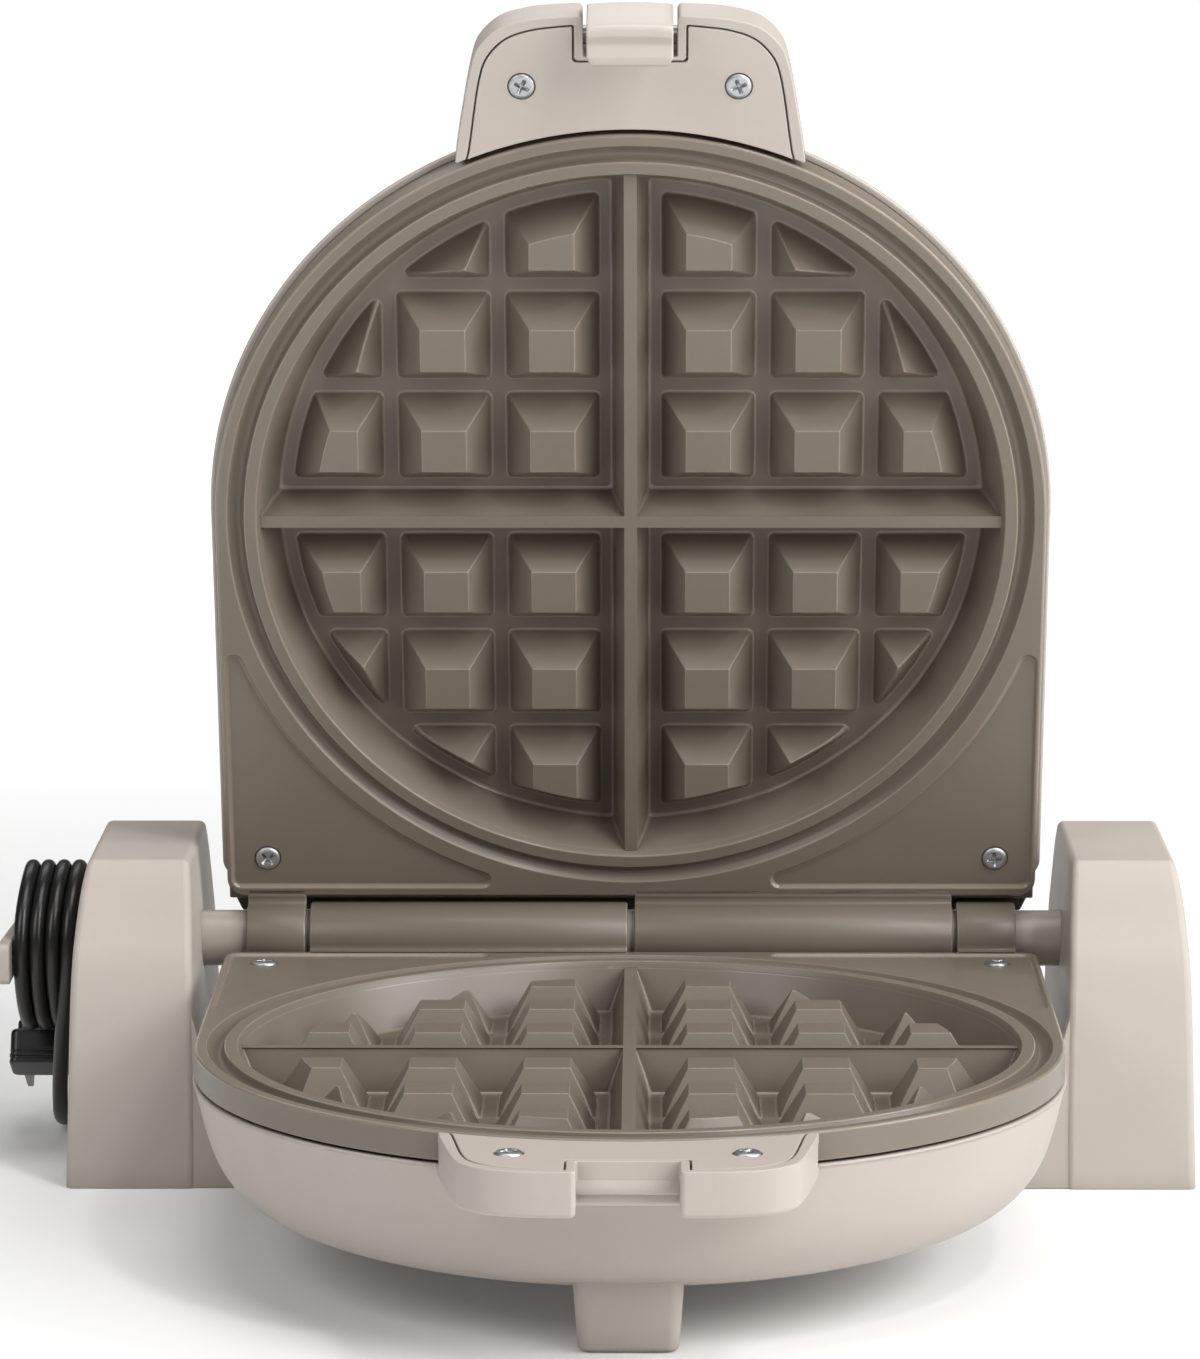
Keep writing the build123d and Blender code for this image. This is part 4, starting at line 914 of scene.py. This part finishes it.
def tray_half(corner, arc=TRAY_R, notch=240.0):
    left = [(-TRAY_X, -arc_l(arc, TRAY_X), corner)] + side_of(TRAY_SIDE, 0.0, arc_l(arc, TRAY_X) + 3.2)[:-3]
    return left + [(-NOTCH, -250.4, 1.25), (-NOTCH, -notch, 0.5)]


def tray_outline(arc=TRAY_R, notch=240.0):
    """the tray's outline: its sides, end and catch notch, and the hollow edge that faces the grid plate"""
    left = tray_half(1.3, arc, notch)
    pts = left + mirrored(left)
    a0 = math.asin((TRAY_X - 0.4) / arc)
    for k in range(2, 27):
        a = a0 - 2 * a0 * k / 28
        pts.append((arc * math.sin(a), -(116.4 + arc * math.cos(a))))
    return rounded_path(pts)


def seat_half(d, r, notch_x, notch_l):
    side = side_of(SEAT_SIDE, d, 212.0)
    x = side[0][0] - 0.25
    s = [q for q in side if -q[1] > arc_l(r, -x) + 0.4]
    return [(x, -arc_l(r, -x))] + s[:-2] + [(-notch_x, s[-1][1], 0.5), (-notch_x, -notch_l, 1.0)]


def tray_border():
    """outline of the raised border round the cover's seat, open towards the grid plate"""
    left = tray_half(0.35)
    seat = seat_half(0.0, TRAY_R, 13.5, 239.0)
    return rounded_path(left + mirrored(left) + mirrored(seat)[::-1] + seat[::-1])


def cover_outline():
    half = seat_half(0.40, 104.95, 13.95, 238.6)
    pts = half + mirrored(half)
    x = -half[0][0] - 0.3
    a0 = math.asin(x / 104.95)
    for k in range(1, 28):
        a = a0 - 2 * a0 * k / 28
        pts.append((104.95 * math.sin(a), -(116.4 + 104.95 * math.cos(a))))
    return rounded_path(pts)


def housing_shell(flare):
    """bowl, foot and handle tray; flare is how much wider the bowl gets towards its lip"""
    sh = Shell()
    keys = [(n, r + flare * max(0.0, 1.0 - (-8.9 - n) / 11.0) ** 2, h, c) for n, r, h, c in smooth_keys(BOWL_KEYS, 7)]
    lip = 104.0 + flare
    rings, ranks = [], []
    # inner wall up to the lip, over it, and down the outside
    for n, r, h, c in reversed(keys[2:]):
        rings.append(bowl_ring(n + WALL, r - WALL, h + WALL, max(c - WALL, 2.0)))
        ranks.append(1)
    for o, lv in ((-WALL, -8.9 - 0.5), (-WALL + 0.3, -8.9 - 0.08), (-WALL + 0.7, -8.9), (-0.75, -8.9), (-0.42, -8.98), (-0.16, -9.2), (-0.02, -9.6)):
        rings.append(bowl_ring(lv, lip + o, 12.6 - o, 5.0 + o * 0.5))
        ranks.append(1)
    ranks[-5] = 2
    for n, r, h, c in keys[1:]:
        rings.append(bowl_ring(n, r, h, c))
        ranks.append(1)
    idx = sh.stack(rings, ranks)
    sh.face(idx[0], 1)
    sh.face(idx[-1], 1)
    # foot
    foot = []
    for k in range(10):
        t = k / 9
        n = -34.0 - 20.5 * t
        hw, hd, ly, r = 13.0 - 1.55 * t, 8.7 - 1.4 * t, 195.4 + 0.8 * t, 3.4 - 0.4 * t
        foot.append((n, hw, hd, ly, r, 0.0))
    n0, hw, hd, ly, r, _ = foot.pop()
    for k in range(6):
        a = math.pi / 2 * k / 5
        foot.append((n0 + 1.3 - 1.3 * math.sin(a), hw + 0.1, hd + 0.09, ly, r, 1.3 * (1 - math.cos(a))))
    rings = []
    for n, hw, hd, ly, r, d in foot:
        lp = rounded_path([(-hw, -ly - hd, r), (hw, -ly - hd, r), (hw, -ly + hd, r), (-hw, -ly + hd, r)], 7)
        rings.append([(q.x, q.y, n) for q in inward(lp, d)])
    idf = sh.stack(rings)
    sh.face(idf[0], 3)
    pad = rounded_path([(-8.5, -200.6, 2), (8.5, -200.6, 2), (8.5, -191.8, 2), (-8.5, -191.8, 2)], 5)
    idp = sh.stack([[(q.x, q.y, -54.5) for q in pad], [(q.x, q.y, -53.3) for q in pad]], [2])
    sh.field(idf[-1], [idp[0]])
    sh.face(idp[-1], 3)
    # handle tray: its body up to the cover's seat, and the border round the seat
    place = lambda x, y, z: (x, y, z)
    prism(sh, tray_outline(101.0, 238.9), TRAY_FLOOR, -8.86, 1.1, 0.0, place, steps=5)
    prism(sh, tray_outline(), -8.9, RIM_N - 2.2, 0.0, 0.0, place)
    prism(sh, tray_border(), RIM_N - 2.25, RIM_N, 0.0, 0.32, place, steps=4)
    return sh


def notch_ledge(sh):
    """ledge across the back of the notch, under the hook's boss"""
    lp = rounded_path([(-238.5, TRAY_FLOOR + 0.02, 0.2), (-243.9, TRAY_FLOOR + 0.02, 0.7), (-243.9, -9.3, 0.7), (-238.5, -9.3, 0.2)], 4)
    prism(sh, lp, -NOTCH - 0.3, NOTCH + 0.3, 0.0, 0.0, lambda a, b, c: (c, a, b))


def catch_bead(sh):
    """rounded bead across the notch, and the groove under it where the hook takes hold"""
    prof = [(239.5, -5.4), (240.0, -5.6), (240.3, -6.1), (240.6, -6.7), (240.8, -7.3), (240.82, -7.9), (240.65, -8.4), (240.3, -8.75), (239.5, -8.85)]
    line = curve_through(prof, 4)
    rings = [[(x, -q.x, q.y) for q in line] for x in (-NOTCH - 0.4, NOTCH + 0.4)]
    idx = sh.stack(rings, [1])
    sh.face(idx[0], 0)
    sh.face(idx[1], 0)


def cover_shell():
    sh = Shell()
    lp = cover_outline()
    wells = [rounded_path([(s * 26.2 + 3.36 * math.cos(2 * math.pi * k / 36), -232.5 + 3.36 * math.sin(2 * math.pi * k / 36)) for k in range(36)]) for s in (-1, 1)]
    prism(sh, lp, RIM_N - 2.15, RIM_N, 0.0, 0.26, lambda x, y, z: (x, y, z), holes=wells)
    for s in (-1, 1):
        # floor of each screw well
        d = [[(s * 26.2 + r * math.cos(2 * math.pi * k / 36), -232.5 + r * math.sin(2 * math.pi * k / 36), z) for k in range(36)]
             for r, z in ((3.37, RIM_N - 1.0), (3.37, RIM_N - 2.1))]
        i = sh.stack(d, [2])
        sh.face(i[0], 3)
        sh.face(i[1], 3)
    return sh


# ------------------------------------------------------------------ screws
def screw(sh, at, r=3.2, head=1.5, shank_r=1.4, length=9.0, spin=0.0):
    """pan head with a cross recess; at(x, y, z) places it with its top at z 0"""
    n = 48

    def circ(rad, z):
        return [at(rad * math.cos(2 * math.pi * k / n), rad * math.sin(2 * math.pi * k / n), z) for k in range(n)]

    prof = [(shank_r * 0.4, -length), (shank_r, -length + 1.4)]
    z = -length + 1.6
    while z < -head - 0.8:
        prof += [(shank_r, z), (shank_r * 1.18, z + 0.25), (shank_r, z + 0.5)]
        z += 0.7
    prof += [(shank_r, -head), (r - 0.15, -head), (r, -head + 0.15), (r, -head + 0.55)]
    for k in range(1, 8):
        a = math.pi / 2 * k / 7
        prof.append((r - 1.0 + 1.0 * math.cos(a), -0.02 - 0.93 + 0.93 * math.sin(a)))
    idx = sh.stack([circ(a, b) for a, b in prof], None)
    sh.face(idx[0], 3)
    # cross recess in a nearly flat crown
    def cross(hw, hl, zz):
        c, s = math.cos(spin), math.sin(spin)
        pts = []
        for q in range(4):
            a = math.pi / 2 * q
            ca, sa = math.cos(a), math.sin(a)
            for x, y in ((hw, hw), (hl - hw * 0.5, hw), (hl, hw * 0.45), (hl, -hw * 0.45), (hl - hw * 0.5, -hw)):
                # one arm, walked clockwise in its own frame
                X, Y = x, -y
                px, py = X * ca - Y * sa, X * sa + Y * ca
                pts.append(at(px * c - py * s, px * s + py * c, zz))
        return pts

    top = sh.ring(cross(0.52, 2.05, -0.02))
    mid = sh.ring(cross(0.48, 1.98, -0.12))
    low = sh.ring(cross(0.34, 1.20, -1.0))
    sh.bridge(top, mid, 1)
    sh.bridge(mid, low, 2)
    sh.fan(low, at(0, 0, -1.15), 1)
    # crown between the rounded shoulder and the recess
    rim = idx[-1]
    loc_r = [((r - 1.0) * math.cos(2 * math.pi * k / n), (r - 1.0) * math.sin(2 * math.pi * k / n)) for k in range(n)]
    cc, ss = math.cos(spin), math.sin(spin)
    loc_c = []
    for q in range(4):
        a = math.pi / 2 * q
        ca, sa = math.cos(a), math.sin(a)
        for x, y in ((0.52, 0.52), (2.05 - 0.26, 0.52), (2.05, 0.52 * 0.45), (2.05, -0.52 * 0.45), (2.05 - 0.26, -0.52)):
            X, Y = x, -y
            px, py = X * ca - Y * sa, X * sa + Y * ca
            loc_c.append((px * cc - py * ss, px * ss + py * cc))
    pts = [Vector(p) for p in loc_r + loc_c]
    m = len(loc_c)
    edges = [(i, (i + 1) % n) for i in range(n)] + [(n + i, n + (i + 1) % m) for i in range(m)]
    tri = delaunay_2d_cdt(pts, edges, [], 0, 1e-7)
    flat = rim + top
    for f in tri[2]:
        cx = sum(tri[0][i].x for i in f) / len(f)
        cy = sum(tri[0][i].y for i in f) / len(f)
        if not within(cx, cy, loc_c):
            sh.face([flat[tri[3][i][0]] for i in f], 3)


def put(x0, y0, z0):
    return lambda x, y, z: (x0 + x, y0 + y, z0 + z)


# ------------------------------------------------------------------ camera
cam_data = bpy.data.cameras.new("camera")
cam_data.lens = 159.08
cam_data.sensor_width = 36.0
cam_data.sensor_fit = "AUTO"
cam_data.clip_start, cam_data.clip_end = 0.05, 60.0
cam = bpy.data.objects.new("camera", cam_data)
bpy.context.scene.collection.objects.link(cam)
pitch, yaw, roll = math.radians(8.933), math.radians(-0.47), math.radians(-0.059)
rt = Vector((math.cos(yaw), -math.sin(yaw), 0))
fw = Vector((math.sin(yaw) * math.cos(pitch), math.cos(yaw) * math.cos(pitch), -math.sin(pitch)))
up = rt.cross(fw)
rt, up = rt * math.cos(roll) + up * math.sin(roll), up * math.cos(roll) - rt * math.sin(roll)
M = Matrix((rt, up, -fw)).transposed().to_4x4()
M.translation = Vector((4.514, -1478.8, 360.63)) * MM
cam.matrix_world = M
bpy.context.scene.camera = cam

# ------------------------------------------------------------------ the mains lead
LEAD = [(-119, 73, -40), (-119, 88.9, -40), (-124.7, 96.8, -43.6), (-134, 99.8, -48.1), (-143.3, 96.8, -51.2), (-149, 88.9, -52.45),
        (-149.2, 76, -52.45), (-147.8, 62, -52.45), (-146.7, 48, -52.45), (-146.9, 34, -52.45), (-148.2, 21, -52.3),
        (-148.6, 9, -49.6), (-147.9, -0.5, -42.5), (-146.9, -8.5, -33), (-145.6, -15.5, -22.5), (-144.0, -19.9, -11.5)]
TAIL = [(-156.9, 20.9, 4.9), (-155.2, 25.0, -3.3), (-152.1, 23.875, -12.131), (-152.1, 18.875, -20.791)]
COIL_R, COIL_Z, PITCH, LAST = 20.1, -1.85, 4.0, 1220.0
turns = []
steps = 54                           # 16 points to a turn
for i in range(steps + 1):
    t = LAST * i / steps
    a = math.radians(t)
    lean = 2.4 * math.sin(a) ** 2 if math.sin(a) > 0 else 0.0
    r = COIL_R * 1.016
    turns.append((-143.4 - PITCH * t / 360.0 + lean, -r * math.cos(a), COIL_Z + r * math.sin(a)))
route = LEAD + turns + TAIL
cu = bpy.data.curves.new("mains_lead", "CURVE")
cu.dimensions = "3D"
sp = cu.splines.new("NURBS")
sp.points.add(len(route) - 1)
for p, co in zip(sp.points, route):
    p.co = (*(STAND @ Vector(co)), 1.0)
sp.order_u = 3
sp.use_endpoint_u = True
sp.resolution_u = 10
cu.bevel_depth = 0.002
cu.bevel_resolution = 7
cu.use_fill_caps = True
cu.materials.append(MATS["black_cord"])
lead = bpy.data.objects.new("mains_lead", cu)
bpy.context.scene.collection.objects.link(lead)
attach(lead, "stand")
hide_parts("cord_lead", "cord_coil", "cord_tail")

# ------------------------------------------------------------------ rounded copies of the nodes listed in ROUNDED, which lists none
ROUNDED = {
}
for node, (size, segs, sharp) in ROUNDED.items():
    me = rounded_copy(node, size, segs, sharp)
    piece(node + "_finish", me, BODY[node], SLOT[node], [node], angle=40.0, weighted=True)

# ------------------------------------------------------------------ grid plates
plate = plate_shell()
piece("lower_grid_plate_finish", plate.mesh("lower_grid_plate_finish", LOWER), "lower_half", "coated_casting", ["lower_grid_plate"], angle=None)
piece("lid_grid_plate_finish", plate.mesh("lid_grid_plate_finish", LID), "lid", "coated_casting", ["lid_grid_plate"], angle=None)

# ------------------------------------------------------------------ housings and what is on them
for body, M_, pre in (("lower_half", LOWER, "lower"), ("lid", LID, "lid")):
    hs = housing_shell(1.3 if pre == "lid" else 0.1)
    catch_bead(hs)
    if pre == "lid":
        notch_ledge(hs)
    piece(pre + "_housing_finish", hs.mesh(pre + "_housing_finish", M_), body, "cream_plastic", [pre + "_housing"], angle=None)
    cv = cover_shell()
    piece(pre + "_handle_cover_finish", cv.mesh(pre + "_handle_cover_finish", M_), body, "cream_plastic", [pre + "_handle_cover"], angle=None)
    sc = Shell()
    screw(sc, put(-26.2, -232.5, RIM_N + 0.55), 3.2, 1.5, 1.25, 9.0, 0.35)
    screw(sc, put(26.2, -232.5, RIM_N + 0.55), 3.2, 1.5, 1.25, 9.0, 1.1)
    piece(pre + "_handle_screws_finish", sc.mesh(pre + "_handle_screws_finish", M_), body, "zinc_steel", [pre + "_handle_screws"], angle=None)
    sc = Shell()
    screw(sc, put(-93.2, -22.0, RIM_N - 0.15), 3.2, 1.5, 1.45, 15.0, 0.1)
    screw(sc, put(93.2, -22.0, RIM_N - 0.15), 3.2, 1.5, 1.45, 15.0, 0.75)
    piece(pre + "_plate_screws_finish", sc.mesh(pre + "_plate_screws_finish", M_), body, "zinc_steel", [pre + "_plate_screws"], angle=None)

fl = Shell()
loop = rounded_path([(-13.2, -8.0, 0.6), (-11.45, -8.0, 0.5), (-9.3, -9.9, 1.5), (-1.9, -11.4, 0.6), (-1.7, -12.9, 0.6), (-9.6, -11.7, 1.5), (-13.2, -10.4, 0.6)], 5)
prism(fl, loop, -103.3, 103.3, 0.3, 0.3, lambda a, b, c: (c, a, b))
for i, q in enumerate(fl.v):
    # its ends slope in towards the hinge
    q.x -= math.copysign(max(0.0, 5.8 + q.y) * 0.7, q.x) if abs(q.x) > 50 else 0.0
# ledge along the foot of the plate, square at its corners
ledge = rounded_path([(-18.0, -3.2, 0.5), (-9.75, -3.3, 0.5), (-9.75, -7.9, 0.5), (-18.0, -8.1, 0.5)], 4)
prism(fl, ledge, -103.35, 103.35, 0.4, 0.4, lambda a, b, c: (c, a, b))
piece("lid_plate_flange", fl.mesh("lid_plate_flange", LID), "lid", "coated_casting", angle=None)

# ------------------------------------------------------------------ spool, strain relief, plug
AX = (lambda x, y, z: (x * 1.0, y + 40.0, z + 54.5))
spm = Shell()


def turned(sh, prof, place, n=64, ranks=None):
    """ring stack about the x axis of place: prof holds (x, radius)"""
    rings = [[place(x, r * math.cos(2 * math.pi * k / n), r * math.sin(2 * math.pi * k / n)) for k in range(n)] for x, r in prof]
    idx = sh.stack(rings, ranks)
    sh.face(idx[0], 3)
    sh.face(idx[-1], 3)


SC = lambda x, y, z: AX(x, y, z - 1.85)
turned(spm, [(-138.9, 17.3), (-139.1, 17.6), (-139.5, 17.7), (-153.8, 17.7), (-154.6, 17.5), (-155.1, 17.0), (-157.7, 13.2), (-157.9, 12.4)], SC)
tongue = rounded_path([(-27.0, -5.2, 1.8), (17.6, -5.2, 1.8), (17.6, 5.2, 1.8), (-27.0, 5.2, 1.8)], 6)
well = rounded_path([(3.5 * math.cos(2 * math.pi * k / 36), 3.5 * math.sin(2 * math.pi * k / 36)) for k in range(36)])
prism(spm, tongue, -161.0, -157.6, 0.9, 0.5, lambda a, b, c: SC(c, a, b), holes=[well], steps=4, flare=0.2)
for q in spm.v:
    # the keeper thins towards the back
    if q.x < -157.95:
        q.x = -157.95 + (q.x + 157.95) * (1.0 - 0.58 * min(max((q.y - 18.0) / 38.0, 0.0), 1.0))
piece("cord_wrap_spool_finish", spm.mesh("cord_wrap_spool_finish", Matrix.Scale(MM, 4)), "stand", "cream_plastic", ["cord_wrap_spool"], angle=None)
sw = Shell()
screw(sw, lambda x, y, z: SC(-160.2 + 0.2 - z, x, y), 3.2, 1.5, 1.5, 22.0, 0.4)
piece("cord_wrap_screw_finish", sw.mesh("cord_wrap_screw_finish", Matrix.Scale(MM, 4)), "stand", "zinc_steel", ["cord_wrap_screw"], angle=None)

rel = Shell()
prof = [(41.6, 4.9), (43.8, 4.9), (43.9, 4.5), (46.8, 4.5), (46.95, 6.1), (47.2, 6.4), (49.0, 6.4), (49.4, 6.0), (49.5, 4.7)]
y = 50.2
while y < 71.5:
    # ridges with gaps between them, as a bending sleeve has
    r = 4.7 - (y - 49.4) * 0.089
    prof += [(y, r - 0.62), (y + 0.5, r - 0.62), (y + 0.62, r - 0.08), (y + 0.8, r), (y + 1.75, r - 0.09), (y + 1.93, r - 0.2)]
    y += 2.05
prof += [(72.3, 2.75), (72.8, 2.6), (73.0, 2.3)]
turned(rel, prof, lambda x, y, z: AX(y - 119.0, x, z - 40.0), 48)
piece("cord_strain_relief_finish", rel.mesh("cord_strain_relief_finish", Matrix.Scale(MM, 4)), "stand", "black_plug", ["cord_strain_relief"], angle=None)

PC, PA = Vector((0, 0.5, math.sqrt(0.75))), Vector((0, math.sqrt(0.75), -0.5))
PO = Vector((-152.1, 52.0, 21.8))
PL = lambda x, a, c: tuple(PO + Vector((x, 0, 0)) + PA * a + PC * c)
pb = Shell()


def slab(w, d, r, c0, c1, e0, e1, sh=pb):
    prism(sh, rounded_path([(-w / 2, -d / 2, r), (w / 2, -d / 2, r), (w / 2, d / 2, r), (-w / 2, d / 2, r)], 6), c0, c1, e0, e1, PL, steps=4)


slab(19.0, 12.0, 2.0, -4.75, -3.45, 0.55, 0.3)
slab(18.1, 11.1, 1.7, -3.6, -2.7, 0.1, 0.1)
slab(19.0, 12.0, 2.0, -2.9, -1.9, 0.3, 0.3)
slab(18.1, 11.1, 1.7, -2.1, -1.2, 0.1, 0.1)
slab(18.8, 11.8, 2.0, -1.5, 4.75, 0.35, 1.3)
slab(15.6, 8.0, 1.8, 4.3, 7.75, 0.1, 0.8)
# raised panel on the face away from the blades, with a small well in it
PF = lambda x, c, a: PL(x, -a, c)
pan = rounded_path([(-7.4, -0.9, 0.5), (7.4, -0.9, 0.5), (7.4, 3.3, 2.4), (-7.4, 3.3, 2.4)], 6)
prism(pb, pan, 5.5, 6.0, 0.0, 0.25, PF, holes=[rounded_path([(2.0, 0.1, 0.25), (5.4, 0.1, 0.25), (5.4, 1.9, 0.25), (2.0, 1.9, 0.25)], 3)])
n = 48
neck = []
for k in range(9):
    t = k / 8
    c = 7.6 + 6.15 * t
    w, d, r = 5.5 * (1 - t) + 2.9 * t, 3.5 * (1 - t) + 2.9 * t, 2.0 * (1 - t) + 2.9 * t
    w, d = w - 0.5 * math.sin(math.pi * t), d - 0.25 * math.sin(math.pi * t)
    ring = []
    for j in range(n):
        a = 2 * math.pi * j / n
        ca, sa = math.cos(a), math.sin(a)
        e = 4.0 - 2.0 * t
        ring.append(PL(w * math.copysign(abs(ca) ** (2 / e), ca), d * math.copysign(abs(sa) ** (2 / e), sa), c))
    neck.append(ring)
idx = pb.stack(neck)
pb.face(idx[0], 3)
pb.face(idx[-1], 3)
piece("plug_body_finish", pb.mesh("plug_body_finish", Matrix.Scale(MM, 4)), "stand", "black_plug", ["plug_body"], angle=None)
bl = Shell()
for sgn in (-1, 1):
    x0 = sgn * 6.35
    tip = rounded_path([(5.7, -3.17, 0.4), (20.6, -3.17, 0.6), (22.0, -2.2, 1.0), (22.0, 2.2, 1.0), (20.6, 3.17, 0.6), (5.7, 3.17, 0.4)], 4)
    eye = [Vector((18.0 + 1.1 * math.cos(2 * math.pi * k / 20), 1.1 * math.sin(2 * math.pi * k / 20))) for k in range(20)]
    prism(bl, tip, x0 - 0.75, x0 + 0.75, 0.2, 0.2, lambda a, b, c: PL(c, a, b), holes=[eye])
piece("plug_blades_finish", bl.mesh("plug_blades_finish", Matrix.Scale(MM, 4)), "stand", "plated_blades", ["plug_blades"], angle=None)

# ------------------------------------------------------------------ latch
PIN_L, PIN_N = 245.4, -5.2
lt = Shell()
# arm, rolled top edge, dished face, ridge and lip
hook = rounded_path([(-250.9, -4.9, 0.5), (-252.9, -4.9, 0.8), (-253.15, 12.9, 1.9), (-250.3, 12.75, 1.2), (-247.6, 11.75, 3.0), (-245.1, 12.75, 0.55),
                     (-242.5, 12.45, 0.8), (-242.35, 10.0, 0.9), (-244.8, 9.75, 1.2), (-250.75, 9.9, 1.3)], 6)
side = [(10.35, 0.45), (10.33, 0.28), (10.22, 0.13), (10.07, 0.03), (9.9, 0.0)]
across = [(-x, d) for x, d in side] + [(9.9 * (k / 8 - 1), 0.0) for k in range(1, 16)] + [(x, d) for x, d in side[::-1]]
slices = []
for x, d in across:
    bow = 0.5 * (x / 10.35) ** 2
    slices.append([(x, q.x + bow * min(1.0, max(0.0, (-q.x - 244.0) / 8.0)), q.y) for q in inward(hook, d)])
ih = lt.stack(slices)
side_field(lt, ih[0], [])
side_field(lt, ih[-1], [])
web = rounded_path([(-PIN_L + 0.2, PIN_N - 2.75, 0.8), (-251.6, -4.75, 0.8), (-251.6, 0.2, 0.8), (-PIN_L + 0.2, PIN_N + 2.75, 0.8)], 4)
prism(lt, web, -10.2, 10.2, 0.25, 0.25, lambda a, b, c: (c, a, b))
boss = [Vector((-PIN_L + 2.9 * math.cos(2 * math.pi * k / 40), PIN_N + 2.9 * math.sin(2 * math.pi * k / 40))) for k in range(40)]
bore = [Vector((-PIN_L + 1.3 * math.cos(2 * math.pi * k / 24), PIN_N + 1.3 * math.sin(2 * math.pi * k / 24))) for k in range(24)]
prism(lt, boss, -10.35, 10.35, 0.3, 0.3, lambda a, b, c: (c, a, b), holes=[bore])
for q in lt.v:
    # the lip's ends are cut at an angle
    q.x -= math.copysign(min(max(0.0, 243.9 + q.y), 1.25) * abs(q.x) / 10.35, q.x)
piece("latch_hook_finish", lt.mesh("latch_hook_finish", LID), "latch", "latch_plastic", ["latch_hook"], angle=None)

# ------------------------------------------------------------------ nodes that stay as they are
# the stand is moulded with a duller skin than the two halves
# its crevice colour is painted shade in the hollows, by AO
STAND_SKIN = finish_of("stand_plastic", lin(182, 173, 165), lin(178, 169, 160), 0.48, specular=0.14, grain=0.02, grain_depth=0.000012,
                       crevice_patina_and_shade=(lin(138, 129, 120), 0.006, 0.25), wave=0.00004, wave_scale=60.0)
for name, ob in NODES.items():
    ob.data.materials.clear()
    ob.data.materials.append(STAND_SKIN if name == "stand_frame" else MATS[SLOT[name]])
    shade_ok = True

# ------------------------------------------------------------------ floor and light
bm = bmesh.new()
bmesh.ops.create_circle(bm, cap_ends=True, radius=14.0, segments=96)
me = bpy.data.meshes.new("floor")
bm.to_mesh(me)
bm.free()
floor = bpy.data.objects.new("floor", me)
bpy.context.scene.collection.objects.link(floor)
floor.location.z = -0.0002
fm = bpy.data.materials.new("floor_paper")
fm.use_nodes = True
fb = fm.node_tree.nodes["Principled BSDF"]
fb.inputs["Base Color"].default_value = (0.86, 0.86, 0.86, 1)
fb.inputs["Roughness"].default_value = 0.9
fb.inputs["Specular IOR Level"].default_value = 0.1
fb.inputs["Emission Color"].default_value = (1, 1, 1, 1)
# the paper glows a little (painted light), less under and beside the object, where it would light it from below; the
# dimmer glow there shows as a painted shadow round the object
ftc = fm.node_tree.nodes.new("ShaderNodeTexCoord")
flen = fm.node_tree.nodes.new("ShaderNodeVectorMath")
flen.operation = "LENGTH"
fr = fm.node_tree.nodes.new("ShaderNodeMapRange")
fr.interpolation_type = "SMOOTHSTEP"
fr.inputs["From Min"].default_value = 0.30
fr.inputs["From Max"].default_value = 1.30
fr.inputs["To Min"].default_value = 0.05
fr.inputs["To Max"].default_value = 0.95
fm.node_tree.links.new(ftc.outputs["Object"], flen.inputs[0])
fm.node_tree.links.new(flen.outputs["Value"], fr.inputs["Value"])
fm.node_tree.links.new(fr.outputs["Result"], fb.inputs["Emission Strength"])
me.materials.append(fm)

world = bpy.data.worlds.new("studio")
world.use_nodes = True
bpy.context.scene.world = world
bg = world.node_tree.nodes["Background"]
bg.inputs["Color"].default_value = (1.0, 0.99, 0.98, 1)
bg.inputs["Strength"].default_value = 0.10


def softbox(name, at, aim, size, power, colour=(1, 1, 1)):
    ld = bpy.data.lights.new(name, "AREA")
    ld.shape = "RECTANGLE"
    ld.size, ld.size_y = size
    ld.energy = power
    ld.color = colour
    ob = bpy.data.objects.new(name, ld)
    bpy.context.scene.collection.objects.link(ob)
    ob.location = at
    ob.rotation_euler = (Vector(aim) - Vector(at)).to_track_quat("-Z", "Y").to_euler()
    return ob


softbox("front_right", (0.835, -0.995, 0.870), (0, 0, 0.10), (0.7, 0.7), 9.8)
softbox("high_right", (0.590, -0.842, 1.346), (0, 0, 0.12), (0.18, 0.18), 4.6)
softbox("front_left", (-0.869, -0.869, 0.980), (0, 0, 0.12), (0.7, 0.7), 5.9)
softbox("side_right", (1.226, -0.328, 0.712), (0, 0, 0.12), (0.7, 0.8), 13.6)
softbox("overhead", (0.089, -0.245, 1.597), (0, 0, 0.12), (0.9, 0.9), 10.0)
softbox("behind", (-0.3, 1.15, 1.25), (0, 0, 0.12), (1.0, 0.7), 3.5)

scene = bpy.context.scene
scene.view_settings.view_transform = "Standard"
